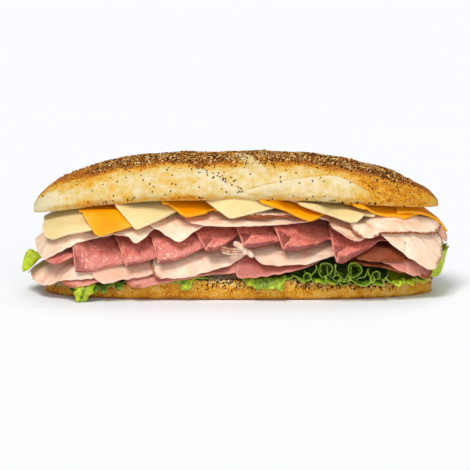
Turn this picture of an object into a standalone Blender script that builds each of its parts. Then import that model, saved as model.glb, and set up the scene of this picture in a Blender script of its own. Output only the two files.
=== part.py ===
"""Submarine sandwich: a long roll in two halves round draped slices of meat, cheese and lettuce.

Everything is worked out in millimetres. X runs along the roll, Y across it and Z up from the
flat underside of the lower half. The slices share one drape frame: a slice is a convex outline
in plan, its level w is the height it has over the middle of the roll, and its true height is
w less the droop of the roll's ends and less the droop of the overhang past the roll's side.
"""

import collections
import math

import bmesh
import bpy
import numpy as np

MM = 0.001

# Roll
ROLL_TOP_HALF_LENGTH = 151.0
ROLL_TOP_HALF_WIDTH = 46.0
ROLL_TOP_RISE = 28.2
ROLL_TOP_CUT_LEVEL = 75.4
ROLL_TOP_SIDE_ROUNDNESS = 0.88
ROLL_TOP_TUCK_SHARE = 0.22
ROLL_TOP_MOST_TUCK = 5.0
ROLL_TOP_RIM_LIP = 1.0
ROLL_TOP_LEFT_END = (4.0, 0.5)
ROLL_TOP_RIGHT_END = (3.1, 0.62)
ROLL_BASE_HALF_LENGTH = 144.5
ROLL_BASE_HALF_WIDTH = 44.0
ROLL_BASE_SHIFT = 2.0
ROLL_BASE_CUT_LEVEL = 15.2
ROLL_BASE_BELLY_SHARE = 0.62
ROLL_BASE_ARCH_SHARE = 0.88
ROLL_BASE_FOOT_SHARE = 0.84
ROLL_PLAN_POWER = 3.4
ROLL_STATIONS = 17
ROLL_TIP_FRACTION = 0.992
ROLL_TIP_CROWDING = 1.7
CUT_FACE_SHARES = (0.82, 0.5, 0.0, -0.5, -0.82)

# Droop of an end: where it starts, how far it goes, over what run, how sharply, and the share
# of it that the lower half follows
Droop = collections.namedtuple("Droop", "side start depth run power share_at_base")
END_DROOPS = (
    Droop(-1.0, 40.0, 14.5, 110.0, 1.8, 0.8),
    Droop(1.0, 35.0, 9.8, 115.0, 1.45, 0.5),
)

# Bed of the filling: a stadium in plan, with the overhang outside it
BED_HALF_WIDTH = 42.0
BED_SPINE_HALF = 104.0
RINGS = (0.0, 22.0, 37.5, 46.0, 58.0)
RING_DROPS = (0.0, 0.0, 0.5, 8.5, 31.0)
RING_SLOPES = (0.0, 0.0, 0.5, 1.4, 1.88)
RING_ARCHES = (8.0, 5.0, 0.0, 0.0, 0.0)
LEAST_DROP = 0.8
TIP_DROP_SHARE = 0.4
SPINE_COLUMNS = 9
END_SPOKES = 6

# Slices
TURKEY_THICKNESS = 1.5
HAM_THICKNESS = 1.5
SALAMI_THICKNESS = 1.1
CHEESE_THICKNESS = 2.3
LETTUCE_THICKNESS = 0.9
LEAF_FLAT = 36.0
LEAF_SHOULDER = 45.0
LEAF_REACH = 50.0
LEAF_HANG = 2.1
LEAF_COLUMN = 6.5
LEAF_HINGE = 44.0
LEAF_CORE_LEVEL = 17.7
BACK_PHASE = 1.3
TIP_LEAF_OUTLINE = ((-158.5, -7), (-156, 12), (-118, 24), (-100, 10), (-104, -16), (-150, -18))
TIP_LEAF_LEVEL = 41.0
TIP_LEAF_STIFFNESS = 0.4
END_LEAF_COLUMNS = 14
END_LEAF_INNER = 8.0
END_LEAF_PITCH = 17.0
FOLD_WIDENING = 1.25
FOLD_DEPTH_SHARE = 2.2
SLICE_GAP = 0.45
SAME_POINT = 0.004
BACK_RAISE = 3.0
BACK_RAISE_SPREAD = 1.5
BACK_SHIFT = 6.0
BACK_SHIFT_REACH = 130.0
END_FULL_DROP = 15.0
LEAST_STIFFNESS = 0.4

MATERIALS = {
    "crust": ((0.62, 0.40, 0.16), 0.65),
    "cheddar": ((0.98, 0.55, 0.05), 0.4),
    "white_cheese": ((0.93, 0.85, 0.60), 0.4),
    "turkey": ((0.90, 0.76, 0.64), 0.45),
    "salami": ((0.62, 0.22, 0.18), 0.4),
    "ham": ((0.80, 0.45, 0.42), 0.4),
    "lettuce": ((0.30, 0.45, 0.05), 0.45),
}


def end_droop(x, level):
    """How far the surface of a level hangs below its middle height at X.

    The lower layers follow the droop of the ends a little less than the upper ones.
    """
    rise = (level - ROLL_BASE_CUT_LEVEL) / (ROLL_TOP_CUT_LEVEL - ROLL_BASE_CUT_LEVEL)
    rise = np.clip(rise, -0.5, 1.2)
    total = 0.0
    for droop in END_DROOPS:
        along = np.clip(droop.side * np.asarray(x, float) - droop.start, 0.0, None) / droop.run
        share = droop.share_at_base + (1.0 - droop.share_at_base) * rise
        total = total + droop.depth * along**droop.power * share
    return total


def past_spine(x, y):
    """Distance of a plan point from the bed's spine, and how far round the end it lies, 0 to 1."""
    beyond = np.clip(np.abs(x) - BED_SPINE_HALF, 0.0, None)
    distance = np.hypot(beyond, y)
    return distance, (beyond / np.maximum(distance, 1e-9)) ** 4


def edge_drop(x, y):
    """Droop of the overhang at a plan point, 0 over the bed."""
    distance, roundness = past_spine(x, y)
    drop = np.interp(distance, RINGS, RING_DROPS)
    return drop * (1.0 - (1.0 - TIP_DROP_SHARE) * roundness)


def arch(x, y):
    """Rise of every layer, and of both cut faces, over the middle of the roll."""
    distance, _ = past_spine(x, y)
    return np.interp(distance, RINGS, RING_ARCHES)


def height(x, y, level):
    """Height of the drape at a plan point for a level."""
    return level - end_droop(x, level) - edge_drop(x, y) + arch(x, y)


# ---------------------------------------------------------------------------
# Lattice of plan points shared by every slice, so that stacked slices cannot cross
# ---------------------------------------------------------------------------


class Lattice:
    """Plan points and triangles over the bed and its overhang."""

    def __init__(self):
        self.index = {}
        self.points = []
        self.triangles = []
        columns = np.linspace(-BED_SPINE_HALF, BED_SPINE_HALF, SPINE_COLUMNS)
        for left, right in zip(columns[:-1], columns[1:]):
            for side in (-1.0, 1.0):
                self.add_strip((left, 0.0), (0.0, side), (right, 0.0), (0.0, side))
        angles = np.linspace(-math.pi / 2, math.pi / 2, END_SPOKES + 1)
        for end in (-1.0, 1.0):
            for first, second in zip(angles[:-1], angles[1:]):
                start = (end * math.cos(first), math.sin(first))
                stop = (end * math.cos(second), math.sin(second))
                origin = (end * BED_SPINE_HALF, 0.0)
                self.add_strip(origin, start, origin, stop)
        self.points = np.array(self.points)
        self.triangles = np.array(self.triangles)
        distance, _ = past_spine(self.points[:, 0], self.points[:, 1])
        self.drop = edge_drop(self.points[:, 0], self.points[:, 1])
        self.slope = np.interp(distance, RINGS, RING_SLOPES)

    def node(self, origin, direction, distance):
        """The number of the plan point this far along a spoke."""
        point = (origin[0] + direction[0] * distance, origin[1] + direction[1] * distance)
        key = (round(point[0], 4), round(point[1], 4))
        if key not in self.index:
            self.index[key] = len(self.points)
            self.points.append(point)
        return self.index[key]

    def add_strip(self, origin_a, direction_a, origin_b, direction_b):
        """Cells between two neighbouring spokes, from the spine outwards."""
        for near, far in zip(RINGS[:-1], RINGS[1:]):
            corners = [
                self.node(origin_a, direction_a, near),
                self.node(origin_a, direction_a, far),
                self.node(origin_b, direction_b, far),
                self.node(origin_b, direction_b, near),
            ]
            for k in (1, 2):
                triangle = (corners[0], corners[k], corners[k + 1])
                if len(set(triangle)) == 3:
                    self.add_triangle(*triangle)

    def add_triangle(self, a, b, c):
        """Adds a triangle, counter-clockwise in plan."""
        (ax, ay), (bx, by), (cx, cy) = (self.points[i] for i in (a, b, c))
        turn = (bx - ax) * (cy - ay) - (by - ay) * (cx - ax)
        self.triangles.append((a, b, c) if turn > 0 else (a, c, b))


# ---------------------------------------------------------------------------
# Plan outlines
# ---------------------------------------------------------------------------


def convex_hull(points):
    """Counter-clockwise hull of plan points."""
    ordered = sorted({(round(float(x), 3), round(float(y), 3)) for x, y in points})

    def half(sequence):
        """One side of the hull."""
        chain = []
        for p in sequence:
            while len(chain) > 1:
                (ax, ay), (bx, by) = chain[-2], chain[-1]
                if (bx - ax) * (p[1] - ay) - (by - ay) * (p[0] - ax) > 1e-6:
                    break
                chain.pop()
            chain.append(p)
        return chain[:-1]

    return np.array(half(ordered) + half(reversed(ordered)))


def overhang_at(x, wanted_drop, side):
    """Y of the plan point at X whose overhang has drooped this far."""
    inner, outer = 0.0, RINGS[-1] - 1.0
    for _ in range(40):
        middle = (inner + outer) / 2
        if edge_drop(x, middle) < wanted_drop:
            inner = middle
        else:
            outer = middle
    return side * inner


def outline_from_edge(front, level_at, stiffness, rng):
    """Plan outline of a slice whose lower front edge runs through (x, z) points.

    The slice runs through to the back, where its edge hangs in the same way but a little less.
    """
    back_raise = BACK_RAISE + rng.uniform(-BACK_RAISE_SPREAD, BACK_RAISE_SPREAD)
    back_shift = rng.uniform(-1.0, 1.0) * BACK_SHIFT
    points = []
    for side, raise_by, shift in ((-1.0, 0.0, 0.0), (1.0, back_raise, back_shift)):
        for x, z in front:
            at = x + shift * (1.0 - min(1.0, abs(x) / BACK_SHIFT_REACH) ** 2)
            level = level_at(at)
            drop = (level - end_droop(at, level) - z - raise_by) / stiffness
            points.append((at, overhang_at(at, max(drop, LEAST_DROP), side)))
    return convex_hull(points)


def outward(x, y):
    """Unit plan direction away from the spine."""
    beyond = math.copysign(max(abs(x) - BED_SPINE_HALF, 0.0), x)
    length = math.hypot(beyond, y)
    return (beyond / length, y / length) if length > 1e-6 else (0.0, 0.0)


def squared_to_sheet(outline, thickness, stiffness):
    """The outline of the sheet's underside, shifted so that its rim is square to the sheet."""
    shifted = []
    for x, y in outline:
        distance, roundness = past_spine(x, y)
        slope = float(np.interp(distance, RINGS, RING_SLOPES)) * stiffness
        slope *= 1.0 - (1.0 - TIP_DROP_SHARE) * float(roundness)
        step = thickness * slope / math.hypot(1.0, slope)
        nx, ny = outward(x, y)
        shifted.append((x - step * nx, y - step * ny))
    return convex_hull(shifted)


# ---------------------------------------------------------------------------
# Sheets on the lattice
# ---------------------------------------------------------------------------


def clip_polygon(polygon, start, stop):
    """The part of a polygon with (x, y, z) corners to the left of the line from start to stop."""
    direction = (stop[0] - start[0], stop[1] - start[1])
    sides = [direction[0] * (p[1] - start[1]) - direction[1] * (p[0] - start[0]) for p in polygon]
    kept = []
    for i, (p, side) in enumerate(zip(polygon, sides)):
        q, other = polygon[i - 1], sides[i - 1]
        if (side >= 0) != (other >= 0):
            share = other / (other - side)
            kept.append(tuple(q[k] + (p[k] - q[k]) * share for k in range(3)))
        if side >= 0:
            kept.append(p)
    return kept


def along_outline(point, outline):
    """Position of a boundary point, as edge number plus the share of that edge."""
    best = (1e9, 0.0)
    for i in range(len(outline)):
        a, b = outline[i], outline[(i + 1) % len(outline)]
        edge = b - a
        share = min(1.0, max(0.0, float(np.dot(point - a, edge) / np.dot(edge, edge))))
        off = float(np.hypot(*(a + edge * share - point)))
        if off < best[0] - 1e-6:
            best = (off, i + share)
    return best[1] % len(outline)


class Surface:
    """A lattice surface trimmed to an outline, with its boundary in order."""

    def __init__(self, lattice, outline, heights, guide):
        """Clips every lattice triangle to the outline; the guide puts the boundary in order."""
        self.points = []
        self.triangles = []
        low, high = outline.min(axis=0), outline.max(axis=0)
        for triangle in lattice.triangles:
            corners = lattice.points[triangle]
            if (corners.max(axis=0) < low).any() or (corners.min(axis=0) > high).any():
                continue
            polygon = [(*corners[k], heights[triangle[k]]) for k in range(3)]
            for i in range(len(outline)):
                polygon = clip_polygon(polygon, outline[i], outline[(i + 1) % len(outline)])
                if len(polygon) < 3:
                    break
            self.add(polygon)
        self.points = np.array(self.points)
        self.boundary = self.in_order(guide)

    def add(self, polygon):
        """Adds a clipped cell as a fan of triangles."""
        ring = []
        for point in polygon:
            number = self.number_of(point)
            if number not in ring:
                ring.append(number)
        for second, third in zip(ring[1:-1], ring[2:]):
            self.triangles.append((ring[0], second, third))

    def number_of(self, point):
        """The number of a point, the same for points that fall together."""
        for number, (x, y, _) in enumerate(self.points):
            if abs(x - point[0]) < SAME_POINT and abs(y - point[1]) < SAME_POINT:
                return number
        self.points.append(point)
        return len(self.points) - 1

    def in_order(self, guide):
        """Boundary points in turn, each with its place along the guide outline."""
        edges = {edge for a, b, c in self.triangles for edge in ((a, b), (b, c), (c, a))}
        following = {a: b for a, b in edges if (b, a) not in edges}
        placed = {i: along_outline(self.points[i][:2], guide) for i in following}
        at = min(following, key=lambda i: placed[i])
        loop = []
        while at in following and len(loop) < len(following):
            loop.append((placed[at], at))
            at = following[at]
        return loop


def stitched(upper, lower):
    """Triangles between two boundaries, walking both at the same pace."""
    count_u, count_l = len(upper), len(lower)
    faces = []
    i = j = 0
    while i < count_u or j < count_l:
        next_u = upper[i + 1][0] if i + 1 < count_u else 1e6 + i
        next_l = lower[j + 1][0] if j + 1 < count_l else 1e6 + j
        take_upper = j >= count_l or (i < count_u and next_u <= next_l)
        if take_upper:
            faces.append((upper[i % count_u][1], lower[j % count_l][1], upper[(i + 1) % count_u][1]))
            i += 1
        else:
            faces.append((upper[i % count_u][1], lower[j % count_l][1], lower[(j + 1) % count_l][1]))
            j += 1
    return faces


def sheet_mesh(lattice, outline, underside, top, bottom):
    """Closed body between two lattice surfaces."""
    above = Surface(lattice, outline, top, outline)
    below = Surface(lattice, underside, bottom, outline)
    offset = len(above.points)
    faces = list(above.triangles)
    faces += [(a + offset, c + offset, b + offset) for a, b, c in below.triangles]
    lower = [(place, i + offset) for place, i in below.boundary]
    faces += stitched(above.boundary, lower)
    return np.concatenate([above.points, below.points]), faces


def touched_nodes(lattice, outline):
    """Lattice nodes of every triangle that the outline reaches."""
    flat = np.zeros(len(lattice.points))
    reached = set()
    for triangle in lattice.triangles:
        polygon = [(*lattice.points[k], flat[k]) for k in triangle]
        for i in range(len(outline)):
            polygon = clip_polygon(polygon, outline[i], outline[(i + 1) % len(outline)])
            if len(polygon) < 3:
                break
        if len(polygon) >= 3:
            reached |= set(int(k) for k in triangle)
    return sorted(reached)


class Pile:
    """Lays slices one on another, keeping the level reached so far at every lattice node."""

    def __init__(self):
        self.lattice = Lattice()
        self.level = np.full(len(self.lattice.points), ROLL_BASE_CUT_LEVEL)

    def lay(self, outline, target, thickness, stiffness):
        """Levels of the slice's underside and upper side, with the pile raised to match."""
        lattice = self.lattice
        rise = thickness * np.hypot(1.0, lattice.slope * min(stiffness, 1.0))
        wanted = target + (1.0 - stiffness) * lattice.drop
        nodes = touched_nodes(lattice, outline)
        under = np.maximum(self.level + SLICE_GAP, wanted)
        self.level[nodes] = (under + rise)[nodes]
        return under, under + rise

    def heights(self, level):
        """True heights of the lattice points for their levels."""
        return height(self.lattice.points[:, 0], self.lattice.points[:, 1], level)


# ---------------------------------------------------------------------------
# Blender objects
# ---------------------------------------------------------------------------


def material(name):
    """The plain material of a finish, made once."""
    found = bpy.data.materials.get(name)
    if found:
        return found
    colour, roughness = MATERIALS[name]
    made = bpy.data.materials.new(name)
    made.use_nodes = True
    shader = made.node_tree.nodes["Principled BSDF"]
    shader.inputs["Base Color"].default_value = (*colour, 1.0)
    shader.inputs["Roughness"].default_value = roughness
    return made


def add_object(name, points, faces, finish):
    """A mesh object from points in millimetres, its faces turned outwards."""
    mesh = bpy.data.meshes.new(name)
    mesh.from_pydata([tuple(float(c) * MM for c in p) for p in points], [], faces)
    work = bmesh.new()
    work.from_mesh(mesh)
    bmesh.ops.recalc_face_normals(work, faces=work.faces)
    work.to_mesh(mesh)
    work.free()
    obj = bpy.data.objects.new(name, mesh)
    obj.data.materials.append(material(finish))
    bpy.context.scene.collection.objects.link(obj)
    return obj


def cut_away(obj, cutter):
    """Takes the cutter's body out of the object and removes the cutter."""
    modifier = obj.modifiers.new("opening", "BOOLEAN")
    modifier.operation = "DIFFERENCE"
    modifier.solver = "EXACT"
    modifier.object = cutter
    graph = bpy.context.evaluated_depsgraph_get()
    mesh = bpy.data.meshes.new_from_object(obj.evaluated_get(graph))
    obj.modifiers.clear()
    obj.data = mesh
    bpy.data.objects.remove(cutter)


# ---------------------------------------------------------------------------
# Roll
# ---------------------------------------------------------------------------


def tube(sections):
    """Closed body through sections of equal point counts, capped at both ends."""
    count = len(sections[0])
    points = [p for section in sections for p in section]
    faces = []
    for s in range(len(sections) - 1):
        for i in range(count):
            j = (i + 1) % count
            faces.append((s * count + i, s * count + j, (s + 1) * count + j, (s + 1) * count + i))
    faces.append(tuple(range(count)))
    last = (len(sections) - 1) * count
    faces.append(tuple(last + i for i in range(count)))
    return points, faces


def stations(half_length, shift):
    """Section positions, closer together towards the tips."""
    turn = np.linspace(-1.0, 1.0, ROLL_STATIONS)
    share = np.sign(turn) * (1.0 - (1.0 - np.abs(turn)) ** ROLL_TIP_CROWDING)
    return shift + half_length * ROLL_TIP_FRACTION * share


def plan_width(along, half_width):
    """Half-width of the roll at a share of its half-length."""
    return half_width * (1.0 - abs(along) ** ROLL_PLAN_POWER) ** 0.5


def upper_section(x):
    """Section of the upper half: cut face below, domed crust above."""
    along = x / ROLL_TOP_HALF_LENGTH
    width = plan_width(along, ROLL_TOP_HALF_WIDTH)
    power, root = ROLL_TOP_LEFT_END if along < 0 else ROLL_TOP_RIGHT_END
    rise = ROLL_TOP_RISE * (1.0 - abs(along) ** power) ** root
    cut = ROLL_TOP_CUT_LEVEL - float(end_droop(x, ROLL_TOP_CUT_LEVEL))
    tuck = min(ROLL_TOP_TUCK_SHARE * rise, ROLL_TOP_MOST_TUCK)
    section = []
    for angle in np.radians(np.linspace(-30.0, 210.0, 13)):
        c, s = math.cos(angle), math.sin(angle)
        y = width * math.copysign(abs(c) ** ROLL_TOP_SIDE_ROUNDNESS, c)
        if s > 0:
            z = tuck + (rise - tuck) * s
        else:
            z = tuck + 2 * (tuck + ROLL_TOP_RIM_LIP) * s
        section.append((x, y, cut + z))
    edge = section[0][1]
    for share in CUT_FACE_SHARES:
        section.append((x, -share * edge, cut + float(arch(x, share * edge))))
    return section


def lower_section(x):
    """Section of the lower half: cut face above, flat underside, rounded sides."""
    along = (x - ROLL_BASE_SHIFT) / ROLL_BASE_HALF_LENGTH
    width = plan_width(along, ROLL_BASE_HALF_WIDTH)
    cut = ROLL_BASE_CUT_LEVEL - float(end_droop(x, ROLL_BASE_CUT_LEVEL))
    belly = ROLL_BASE_BELLY_SHARE * cut
    side = [(0.975, cut), (1.0, 0.5 * (cut + belly))]
    for angle in np.radians((0.0, 35.0, 65.0, 90.0)):
        across = ROLL_BASE_FOOT_SHARE + (1.0 - ROLL_BASE_FOOT_SHARE) * math.cos(angle)
        side.append((across, belly * (1.0 - math.sin(angle))))
    right = [(x, width * share, z) for share, z in side]
    left = [(x, -width * share, z) for share, z in reversed(side)]
    edge = left[-1][1]
    face = []
    for share in CUT_FACE_SHARES:
        rise = ROLL_BASE_ARCH_SHARE * float(arch(x, share * edge))
        face.append((x, share * edge, cut + rise))
    return right + left + face


def build_roll():
    """Both halves of the roll."""
    points, faces = tube([upper_section(x) for x in stations(ROLL_TOP_HALF_LENGTH, 0.0)])
    add_object("roll_top", points, faces, "crust")
    points, faces = tube([lower_section(x) for x in stations(ROLL_BASE_HALF_LENGTH, ROLL_BASE_SHIFT)])
    add_object("roll_base", points, faces, "crust")


# ---------------------------------------------------------------------------
# Filling. Each slice is given by the lower front edge it shows, as (x, z) corners.
# ---------------------------------------------------------------------------

HAM_LEVELS = ((-150, -110, -75, 0, 30, 62, 100, 124, 150), (28, 26, 23, 26, 29, 32, 32, 31, 31))
TURKEY_LOWER_LEVELS = (
    (-150, -100, -60, -16, 4, 20, 51, 72, 100, 150),
    (33, 33, 31, 35, 38, 38, 37, 37, 37, 37),
)
SALAMI_LEVELS = (
    (-150, -110, -80, -56, -18, 10, 39, 78, 100, 150),
    (45, 41, 39, 41, 47, 49, 48, 43, 44, 47),
)
TURKEY_UPPER_LEVELS = ((-150, -73, -40, 0, 50, 86, 110, 150), (55, 56, 57, 61, 60, 55, 56, 56))
CHEESE_LEVELS = ((-150, 70, 105, 150), (66.0, 66.0, 65.0, 65.0))

HAM_SLICES = {
    "ham_1": ((-129, 17), (-124, 12), (-116, 12), (-95, 17), (-70, 22)),
    "ham_2": ((-84, 20), (-75, 11), (-64, 12), (-23, 20), (12, 27)),
    "ham_3": ((3, 32), (0, 19), (33, 22), (48, 25), (70, 33)),
    "ham_4": ((82, 32), (94, 28), (107, 27), (122, 22), (135, 24)),
    "ham_5": ((98, 34), (111, 29), (124, 22), (142, 16), (147, 24), (150, 30)),
}
TURKEY_LOWER_SLICES = {
    "turkey_lower_1": ((-158, 20), (-150, 13), (-142, 10), (-131, 15), (-101, 19), (-84, 24)),
    "turkey_lower_2": ((-108, 27), (-99, 16), (-90, 15), (-69, 19), (-50, 25)),
    "turkey_lower_3": ((-62, 32), (-60, 19), (-38, 19), (-16, 25), (16, 40)),
    "turkey_lower_4": ((-2, 47), (13, 35), (20, 29), (50, 29), (72, 34), (94, 41)),
    "turkey_lower_5": ((78, 40), (89, 33), (107, 31), (125, 31), (142, 33)),
}
SALAMI_SLICES = {
    "salami_1": ((-143, 34), (-138, 29), (-131, 29), (-118, 35), (-92, 43)),
    "salami_2": ((-118, 44), (-117, 25), (-105, 25), (-81, 30), (-58, 37)),
    "salami_3": ((-86, 48), (-80, 29), (-60, 34), (-34, 42)),
    "salami_4": ((-61, 51), (-56, 31), (-34, 37), (-6, 49)),
    "salami_5": ((-26, 55), (-18, 40), (1, 50), (22, 55)),
    "salami_6": ((3, 55), (10, 43), (25, 45), (50, 50)),
    "salami_7": ((31, 56), (38, 41), (55, 42), (71, 46), (92, 52)),
    "salami_8": ((70, 55), (78, 31), (100, 41), (120, 51)),
}
SALAMI_OPENINGS = {
    "salami_5": 1.2,
    "salami_6": 1.2,
    "salami_7": 1.2,
    "salami_8": 2.6,
}
TURKEY_UPPER_SLICES = {
    "turkey_upper_1": ((-151, 44), (-147, 35), (-140, 31), (-131, 36), (-94, 49), (-74, 56)),
    "turkey_upper_2": ((-104, 57), (-85, 50), (-73, 44), (-62, 53), (-50, 60)),
    "turkey_upper_3": ((-66, 60), (-53, 52), (-41, 46), (-34, 51), (-18, 60)),
    "turkey_upper_4": ((-42, 64), (-36, 60), (-23, 58), (29, 58), (53, 58), (58, 64)),
    "turkey_upper_5": ((-6, 68), (8, 65), (30, 65), (48, 63), (60, 68)),
    "turkey_upper_6": ((69, 62), (71, 55), (86, 47), (93, 47), (108, 58)),
    "turkey_upper_7": ((100, 54), (116, 41), (143, 25), (152, 30), (153, 42)),
    "turkey_upper_8": ((112, 53), (138, 48), (156, 39), (157, 42)),
    "turkey_upper_9": ((74, 63), (87, 51), (96, 47), (108, 51), (150, 47), (154, 55)),
}
CHEESE_SLICES = {
    "white_cheese_1": ((-143, 60), (-142, 52), (-135, 47), (-107, 55), (-84, 62)),
    "cheddar_1": ((-116, 70), (-101, 50), (-75, 58), (-46, 68)),
    "white_cheese_2": ((-88, 71), (-73, 55), (-62, 59), (-28, 71)),
    "cheddar_2": ((-53, 73), (-36, 65), (-12, 69), (10, 73)),
    "white_cheese_3": ((-22, 74), (-4, 64), (16, 68), (42, 73)),
    "cheddar_3": ((19, 74), (35, 69), (54, 62), (68, 66), (82, 72)),
    "white_cheese_4": ((40, 74), (62, 68), (83, 61), (92, 62), (108, 70)),
    "cheddar_4": ((80, 74), (101, 68), (121, 61), (128, 61), (146, 66)),
    "cheddar_5": ((122, 68), (145, 62), (157, 50), (154, 56)),
}

# One row of slices: the level of its middle along X, how far each slice rises over its left
# neighbour, how far the lowest edges overhang, and whether each slice is folded in two
Row = collections.namedtuple("Row", "slices levels thickness step reach finish folded")
HAM_ROW = Row(HAM_SLICES, HAM_LEVELS, HAM_THICKNESS, 2.6, 6.5, "ham", False)
TURKEY_LOWER_ROW = Row(
    TURKEY_LOWER_SLICES, TURKEY_LOWER_LEVELS, TURKEY_THICKNESS, 2.6, 7.5, "turkey", False
)
SALAMI_ROW = Row(SALAMI_SLICES, SALAMI_LEVELS, SALAMI_THICKNESS, 3.8, 8.0, "salami", True)
TURKEY_UPPER_ROW = Row(
    TURKEY_UPPER_SLICES, TURKEY_UPPER_LEVELS, TURKEY_THICKNESS, 2.4, 8.5, "turkey", False
)
CHEESE_ROW = Row(CHEESE_SLICES, CHEESE_LEVELS, CHEESE_THICKNESS, 2.75, 7.5, "cheese", False)


def middle_of(front):
    """X of the middle of a front edge."""
    return (front[0][0] + front[-1][0]) / 2


def shingled_level(levels, middles, number, step):
    """Level of a slice that lies over its left neighbour and under its right one."""

    def level_at(x):
        """Level at X."""
        place = np.interp(x, middles, np.arange(len(middles)))
        return np.interp(x, *levels) + step * (number - place)

    return level_at


def stiffness_for(front, level_at, reach):
    """Share of the full droop that puts the lowest corner at this overhang."""
    needed = []
    for x, z in front:
        level = level_at(x)
        drop = level - end_droop(x, level) - z
        beside = abs(x) < BED_SPINE_HALF
        full = edge_drop(x, BED_HALF_WIDTH + reach) if beside else END_FULL_DROP
        needed.append(float(drop / full))
    return min(1.0, max(LEAST_STIFFNESS, *needed))


def finish_of(name, row):
    """The plain material of a slice."""
    if row.finish != "cheese":
        return row.finish
    return "cheddar" if name.startswith("cheddar") else "white_cheese"


def lay_row(pile, row, rng):
    """Lays a row of slices, each over the one to its left."""
    middles = [middle_of(front) for front in row.slices.values()]
    order = np.argsort(middles)
    for number, (name, front) in enumerate(row.slices.items()):
        place = float(np.where(order == number)[0][0])
        level_at = shingled_level(row.levels, np.sort(middles), place, row.step)
        stiffness = stiffness_for(front, level_at, row.reach)
        outline = outline_from_edge(front, level_at, stiffness, rng)
        target = level_at(pile.lattice.points[:, 0])
        opening = SALAMI_OPENINGS.get(name, 0.0)
        whole = 2 * row.thickness + opening if row.folded else row.thickness
        under, over = pile.lay(outline, target, whole, stiffness)
        underside = squared_to_sheet(outline, whole, stiffness)
        top, bottom = pile.heights(over), pile.heights(under)
        points, faces = sheet_mesh(pile.lattice, outline, underside, top, bottom)
        obj = add_object(name, points, faces, finish_of(name, row))
        if opening:
            open_fold(pile, obj, outline, top, bottom, row.thickness, whole, stiffness)


def open_fold(pile, obj, outline, top, bottom, thickness, whole, stiffness):
    """Parts the two leaves of a folded slice, leaving them joined along the front fold."""
    share = thickness / whole
    upper = top - (top - bottom) * share
    lower = bottom + (top - bottom) * share
    centre = outline.mean(axis=0)
    widened = centre + (outline - centre) * FOLD_WIDENING
    front = widened[:, 1] < 0
    widened[front, 1] = outline[front, 1] + FOLD_DEPTH_SHARE * thickness
    slot = convex_hull(widened)
    slot_underside = squared_to_sheet(slot, whole - 2 * thickness, stiffness)
    points, faces = sheet_mesh(pile.lattice, slot, slot_underside, upper, lower)
    cut_away(obj, add_object("fold_opening", points, faces, "salami"))


# ---------------------------------------------------------------------------
# Lettuce: ruffled leaves right across the lower half, and one round each end
# ---------------------------------------------------------------------------


def closed_grid(points, thickness):
    """Closed body from a grid of (x, y, z) points on the upper side, thickened downwards."""
    rows, columns = points.shape[:2]
    lower = points.copy()
    lower[:, :, 2] -= thickness
    both = np.concatenate([points.reshape(-1, 3), lower.reshape(-1, 3)])
    offset = rows * columns
    faces = []
    for i in range(rows - 1):
        for j in range(columns - 1):
            a, b = i * columns + j, i * columns + j + 1
            c, d = a + columns + 1, a + columns
            faces.append((a, b, c, d))
            faces.append((d + offset, c + offset, b + offset, a + offset))
    rim = [j for j in range(columns)]
    rim += [i * columns + columns - 1 for i in range(1, rows)]
    rim += [(rows - 1) * columns + j for j in range(columns - 2, -1, -1)]
    rim += [i * columns for i in range(rows - 2, 0, -1)]
    for a, b in zip(rim, rim[1:] + rim[:1]):
        faces.append((b, a, a + offset, b + offset))
    return both, faces


def ruffle(x, distance, height_of_ruffle, pitch, phase):
    """Rise of the frilly margin, from nothing inside the bed to its full height at the edge."""
    ramp = np.clip((distance - LEAF_FLAT) / (LEAF_REACH - LEAF_FLAT), 0.0, 1.0)
    wave = 0.5 + 0.5 * np.sin(2 * math.pi * x / pitch + phase)
    return height_of_ruffle * ramp * wave


def leaf_height(x, y, level, rise):
    """Height of a leaf, which lies flat out to the roll's shoulder and hangs beyond it."""
    distance, _ = past_spine(x, y)
    hang = LEAF_HANG * np.clip(distance - LEAF_SHOULDER, 0.0, None)
    return level - end_droop(x, level) + arch(x, y) - hang + rise


def through_leaf(name, start, stop, level, reach, frill, pitch, phase):
    """Leaf from X start to stop that runs across the bed and hangs past both sides."""
    column = LEAF_COLUMN if frill > 2.0 else 2 * LEAF_COLUMN
    columns = max(5, int((stop - start) / column))
    points = np.zeros((columns + 1, 9, 3))
    for i, x in enumerate(np.linspace(start, stop, columns + 1)):
        swell = max(0.0, math.sin(math.pi * (x - start) / (stop - start))) ** 0.5
        out = LEAF_SHOULDER + (reach - LEAF_SHOULDER) * swell
        beyond = max(abs(x) - BED_SPINE_HALF, 0.0)
        half = (RINGS[1], LEAF_FLAT, LEAF_HINGE, out)
        distances = [-r for r in reversed(half)] + [0.0] + list(half)
        for j, r in enumerate(distances):
            y = math.copysign(math.sqrt(max(r * r - beyond * beyond, 0.0)), r)
            rise = ruffle(x, abs(r), frill, pitch, phase + (BACK_PHASE if r > 0 else 0.0))
            points[i, j] = (x, y, leaf_height(x, y, level, rise))
    return name, points, level + frill, (start, stop)


def end_leaf(name, side, start_angle, stop_angle, level, reach, frill, phase):
    """Leaf round one end of the bed, its margin following the end."""
    points = np.zeros((END_LEAF_COLUMNS + 1, 5, 3))
    for i, angle in enumerate(np.linspace(start_angle, stop_angle, END_LEAF_COLUMNS + 1)):
        for j, r in enumerate((END_LEAF_INNER, RINGS[1], LEAF_FLAT, LEAF_HINGE, reach)):
            x = side * (BED_SPINE_HALF + r * math.cos(angle))
            y = r * math.sin(angle)
            rise = float(ruffle(angle * LEAF_SHOULDER, r, frill, END_LEAF_PITCH, phase))
            points[i, j] = (x, y, leaf_height(x, y, level, rise))
    low, high = sorted((side * BED_SPINE_HALF, side * (BED_SPINE_HALF + reach)))
    return name, points, level + frill, (low, high)


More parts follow.
